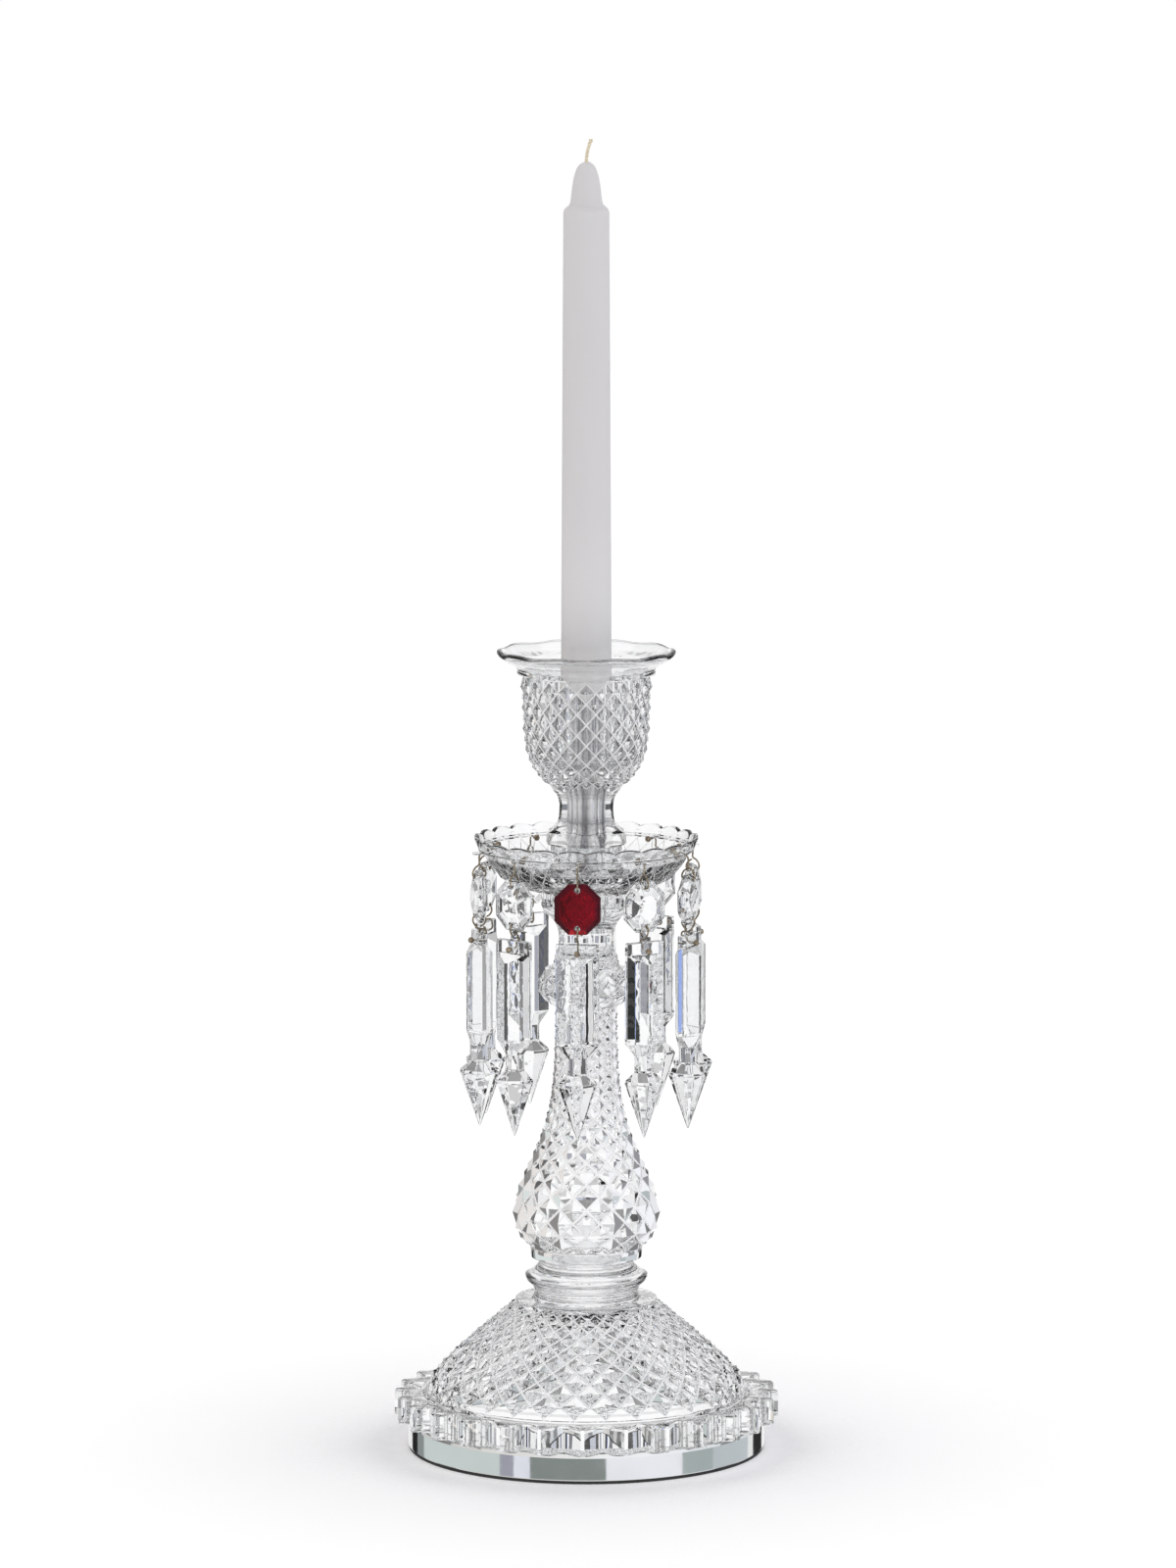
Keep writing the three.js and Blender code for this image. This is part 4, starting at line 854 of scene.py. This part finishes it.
# Painted shadow: the floor's colour darkens where ambient occlusion finds the object near
varied(
    tree, shader, "Base Color", painted_shadow_nearness.outputs["AO"],
    (0.5, (0.97, 0.965, 0.98)), (0.84, (0.65, 0.645, 0.67)), (0.965, (0.78, 0.78, 0.785)), (1.0, 0.97),
)
mesh.materials.append(pale)
floor = bpy.data.objects.new("floor", mesh)
bpy.context.collection.objects.link(floor)
floor.visible_glossy = False
floor.visible_transmission = False
shader.inputs["Emission Color"].default_value = (1, 1, 1, 1)
shader.inputs["Emission Strength"].default_value = 0.1

world = bpy.data.worlds.new("studio")
bpy.context.scene.world = world
world.use_nodes = True
tree = world.node_tree
tree.nodes.clear()
place = tree.nodes.new("ShaderNodeTexCoord")
split = tree.nodes.new("ShaderNodeSeparateXYZ")
tree.links.new(place.outputs["Generated"], split.inputs["Vector"])


def maths(operation, first, second=None):
    """A maths node of the studio over one or two values or sockets"""
    node = tree.nodes.new("ShaderNodeMath")
    node.operation = operation
    for socket, value in zip(node.inputs, (first, second)):
        if value is None:
            continue
        if isinstance(value, (int, float)):
            socket.default_value = value
        else:
            tree.links.new(value, socket)
    return node.outputs["Value"]


def bands(source, first, span, *stops):
    """Plain bands of colour over a value, each from the place where it starts"""
    return ramp(tree, source, *[((at - first) / span, colour) for at, colour in stops], plain=True)


def product(first, second):
    """Two of the studio's colours multiplied"""
    node = tree.nodes.new("ShaderNodeMix")
    node.data_type = "RGBA"
    node.blend_type = "MULTIPLY"
    node.inputs["Factor"].default_value = 1.0
    tree.links.new(first, node.inputs["A"])
    tree.links.new(second, node.inputs["B"])
    return node.outputs["Result"]


# Bearings run clockwise seen from above, in turns: 0 straight ahead of the camera, 0.25 to the right.
# The bands over them are given in degrees, and those over the height of a look from -1 down to 1 up.
angle = maths("ARCTAN2", split.outputs["X"], split.outputs["Y"])
bearing = maths("FRACT", maths("ADD", maths("DIVIDE", angle, 2 * math.pi), 1.0))
upright = maths("ADD", maths("MULTIPLY", split.outputs["Z"], 0.5), 0.5)

# What upright glass shows, level with it: screens, gaps and dark stands, to the right and the left
right_stands = bands(
    bearing, 0, 360,
    (0, 1.0), (8, 0.62), (12, 1.0), (15, (0.85, 0.68, 0.5)), (15.3, 0.04), (22.5, (0.45, 0.55, 0.9)),
    (23, 1.0), (26, (0.2, 0.205, 0.23)), (31, 0.9), (42, (0.3, 0.3, 0.34)), (54, 1.0), (60, 0.55),
    (70, 1.0), (80, 0.1), (84, 1.0), (100, (0.3, 0.42, 0.85)), (108, 1.0), (114, 0.02), (124, 1.0),
    (135, 0.5), (143, 0.06), (150, 1.0), (165, 0.6), (172, 1.0),
)
left_stands = bands(
    bearing, 0, 360,
    (0, 1.0), (188, 0.1), (195, 1.0), (210, 0.5), (220, 1.0), (228, 0.05), (235, 0.68), (253, 1.0),
    (270, 0.35), (278, 1.0), (290, (0.72, 0.66, 0.6)), (300, 1.0), (308, 0.5), (314, 0.05),
    (323, (0.55, 0.57, 0.64)), (330.6, (0.85, 0.68, 0.5)), (331, 0.08), (337, 1.0),
    (340, (0.36, 0.37, 0.42)), (346, 1.0),
)

# What slanting facets show, above and below that level: paler walls and shelves of light and shade
walls = bands(
    bearing, 0, 360,
    (0, 1.0), (20, 0.85), (34, 1.0), (52, 0.7), (60, 0.3), (70, 0.85), (96, 0.45), (110, 1.0), (140, 0.7),
    (150, 1.0), (164, 0.6), (176, 1.0), (186, 0.6), (198, 1.0), (214, 0.7), (226, 1.0), (246, 0.45),
    (260, 0.85), (290, 0.3), (300, 0.7), (308, 1.0), (328, 0.85), (342, 1.0),
)
shelves = bands(
    upright, -1, 2,
    (-1, 0.95), (-0.8, 0.6), (-0.7, 1.0), (-0.52, 0.32), (-0.44, 1.0), (-0.34, 0.8), (-0.29, 1.0), (0.1, 0.6),
    (0.17, 1.0), (0.34, 0.66), (0.42, 1.0), (0.6, 0.7), (0.66, 1.0), (0.72, 0.55), (0.8, 1.0),
)
level = bands(upright, -1, 2, (-1, 0.0), (-0.21, 1.0), (-0.05, 0.0))
through_glass = between(tree, level, product(walls, shelves), product(right_stands, left_stands))

soft = ramp(
    tree, maths("ADD", maths("MULTIPLY", split.outputs["X"], 0.5), 0.5),
    (0.0, (0.86, 0.83, 0.81)), (0.5, (1.0, 0.998, 1.0)), (1.0, (1.0, 1.01, 1.06)),
)

# What surfaces mirror: soft light with a few greyer screens, and low down, for the polished ring,
# pale walls to the left and right and the darker room in front
screens = bands(
    bearing, 0, 360,
    (0, 1.0), (14, 0.55), (30, 0.2), (48, 0.8), (62, 0.3), (84, 0.9), (110, 1.0), (250, 0.9), (276, 0.3),
    (298, 0.8), (312, 0.2), (330, 0.55), (346, 1.0),
)
room = bands(
    bearing, 0, 360, (0, 0.95), (20, 0.03), (42, 0.9), (50, (0.58, 0.62, 0.65)), (90, (0.44, 0.49, 0.49)),
    (114, (0.95, 0.95, 1.0)), (167, (0.27, 0.3, 0.29)), (216, (0.9, 0.9, 1.0)), (227.5, (0.4, 0.4, 0.47)),
    (236.6, (0.68, 0.74, 0.73)), (310, (0.3, 0.32, 0.32)), (322, 0.02), (334, 0.9), (345, 0.95),
)
low = bands(upright, -1, 2, (-1, 0.0), (-0.32, 1.0), (-0.165, 0.0))
mirrored = between(tree, low, product(soft, screens), room)

# Surfaces light each other by the soft light alone: only a straight look finds the studio
path = tree.nodes.new("ShaderNodeLightPath")
straight = maths("LESS_THAN", path.outputs["Diffuse Depth"], 0.5)
shown = soft
sights = (("Is Glossy Ray", mirrored), ("Is Transmission Ray", through_glass), ("Is Camera Ray", None))
for ray, colour in sights:
    choice = tree.nodes.new("ShaderNodeMix")
    choice.data_type = "RGBA"
    choice.inputs["B"].default_value = (1, 1, 1, 1)
    tree.links.new(maths("MULTIPLY", path.outputs[ray], straight), choice.inputs["Factor"])
    tree.links.new(shown, choice.inputs["A"])
    if colour:
        tree.links.new(colour, choice.inputs["B"])
    shown = choice.outputs["Result"]
glow = tree.nodes.new("ShaderNodeBackground")
out = tree.nodes.new("ShaderNodeOutputWorld")
tree.links.new(shown, glow.inputs["Color"])
tree.links.new(glow.outputs["Background"], out.inputs["Surface"])

DOWNWARD_TILT = 7.851
BOUNCES = 24
camera_data = bpy.data.cameras.new("camera")
camera_data.sensor_fit = "VERTICAL"
camera_data.sensor_height = 24
camera_data.lens = 119.1
camera_data.clip_end = 50
camera = bpy.data.objects.new("camera", camera_data)
camera.location = (0.00078, -3.58, 0.807)
camera.rotation_euler = (math.radians(90 - DOWNWARD_TILT), 0, 0)
bpy.context.collection.objects.link(camera)
bpy.context.scene.camera = camera

bpy.context.scene.view_settings.view_transform = "Standard"
bpy.context.scene.cycles.max_bounces = BOUNCES
bpy.context.scene.cycles.transmission_bounces = BOUNCES
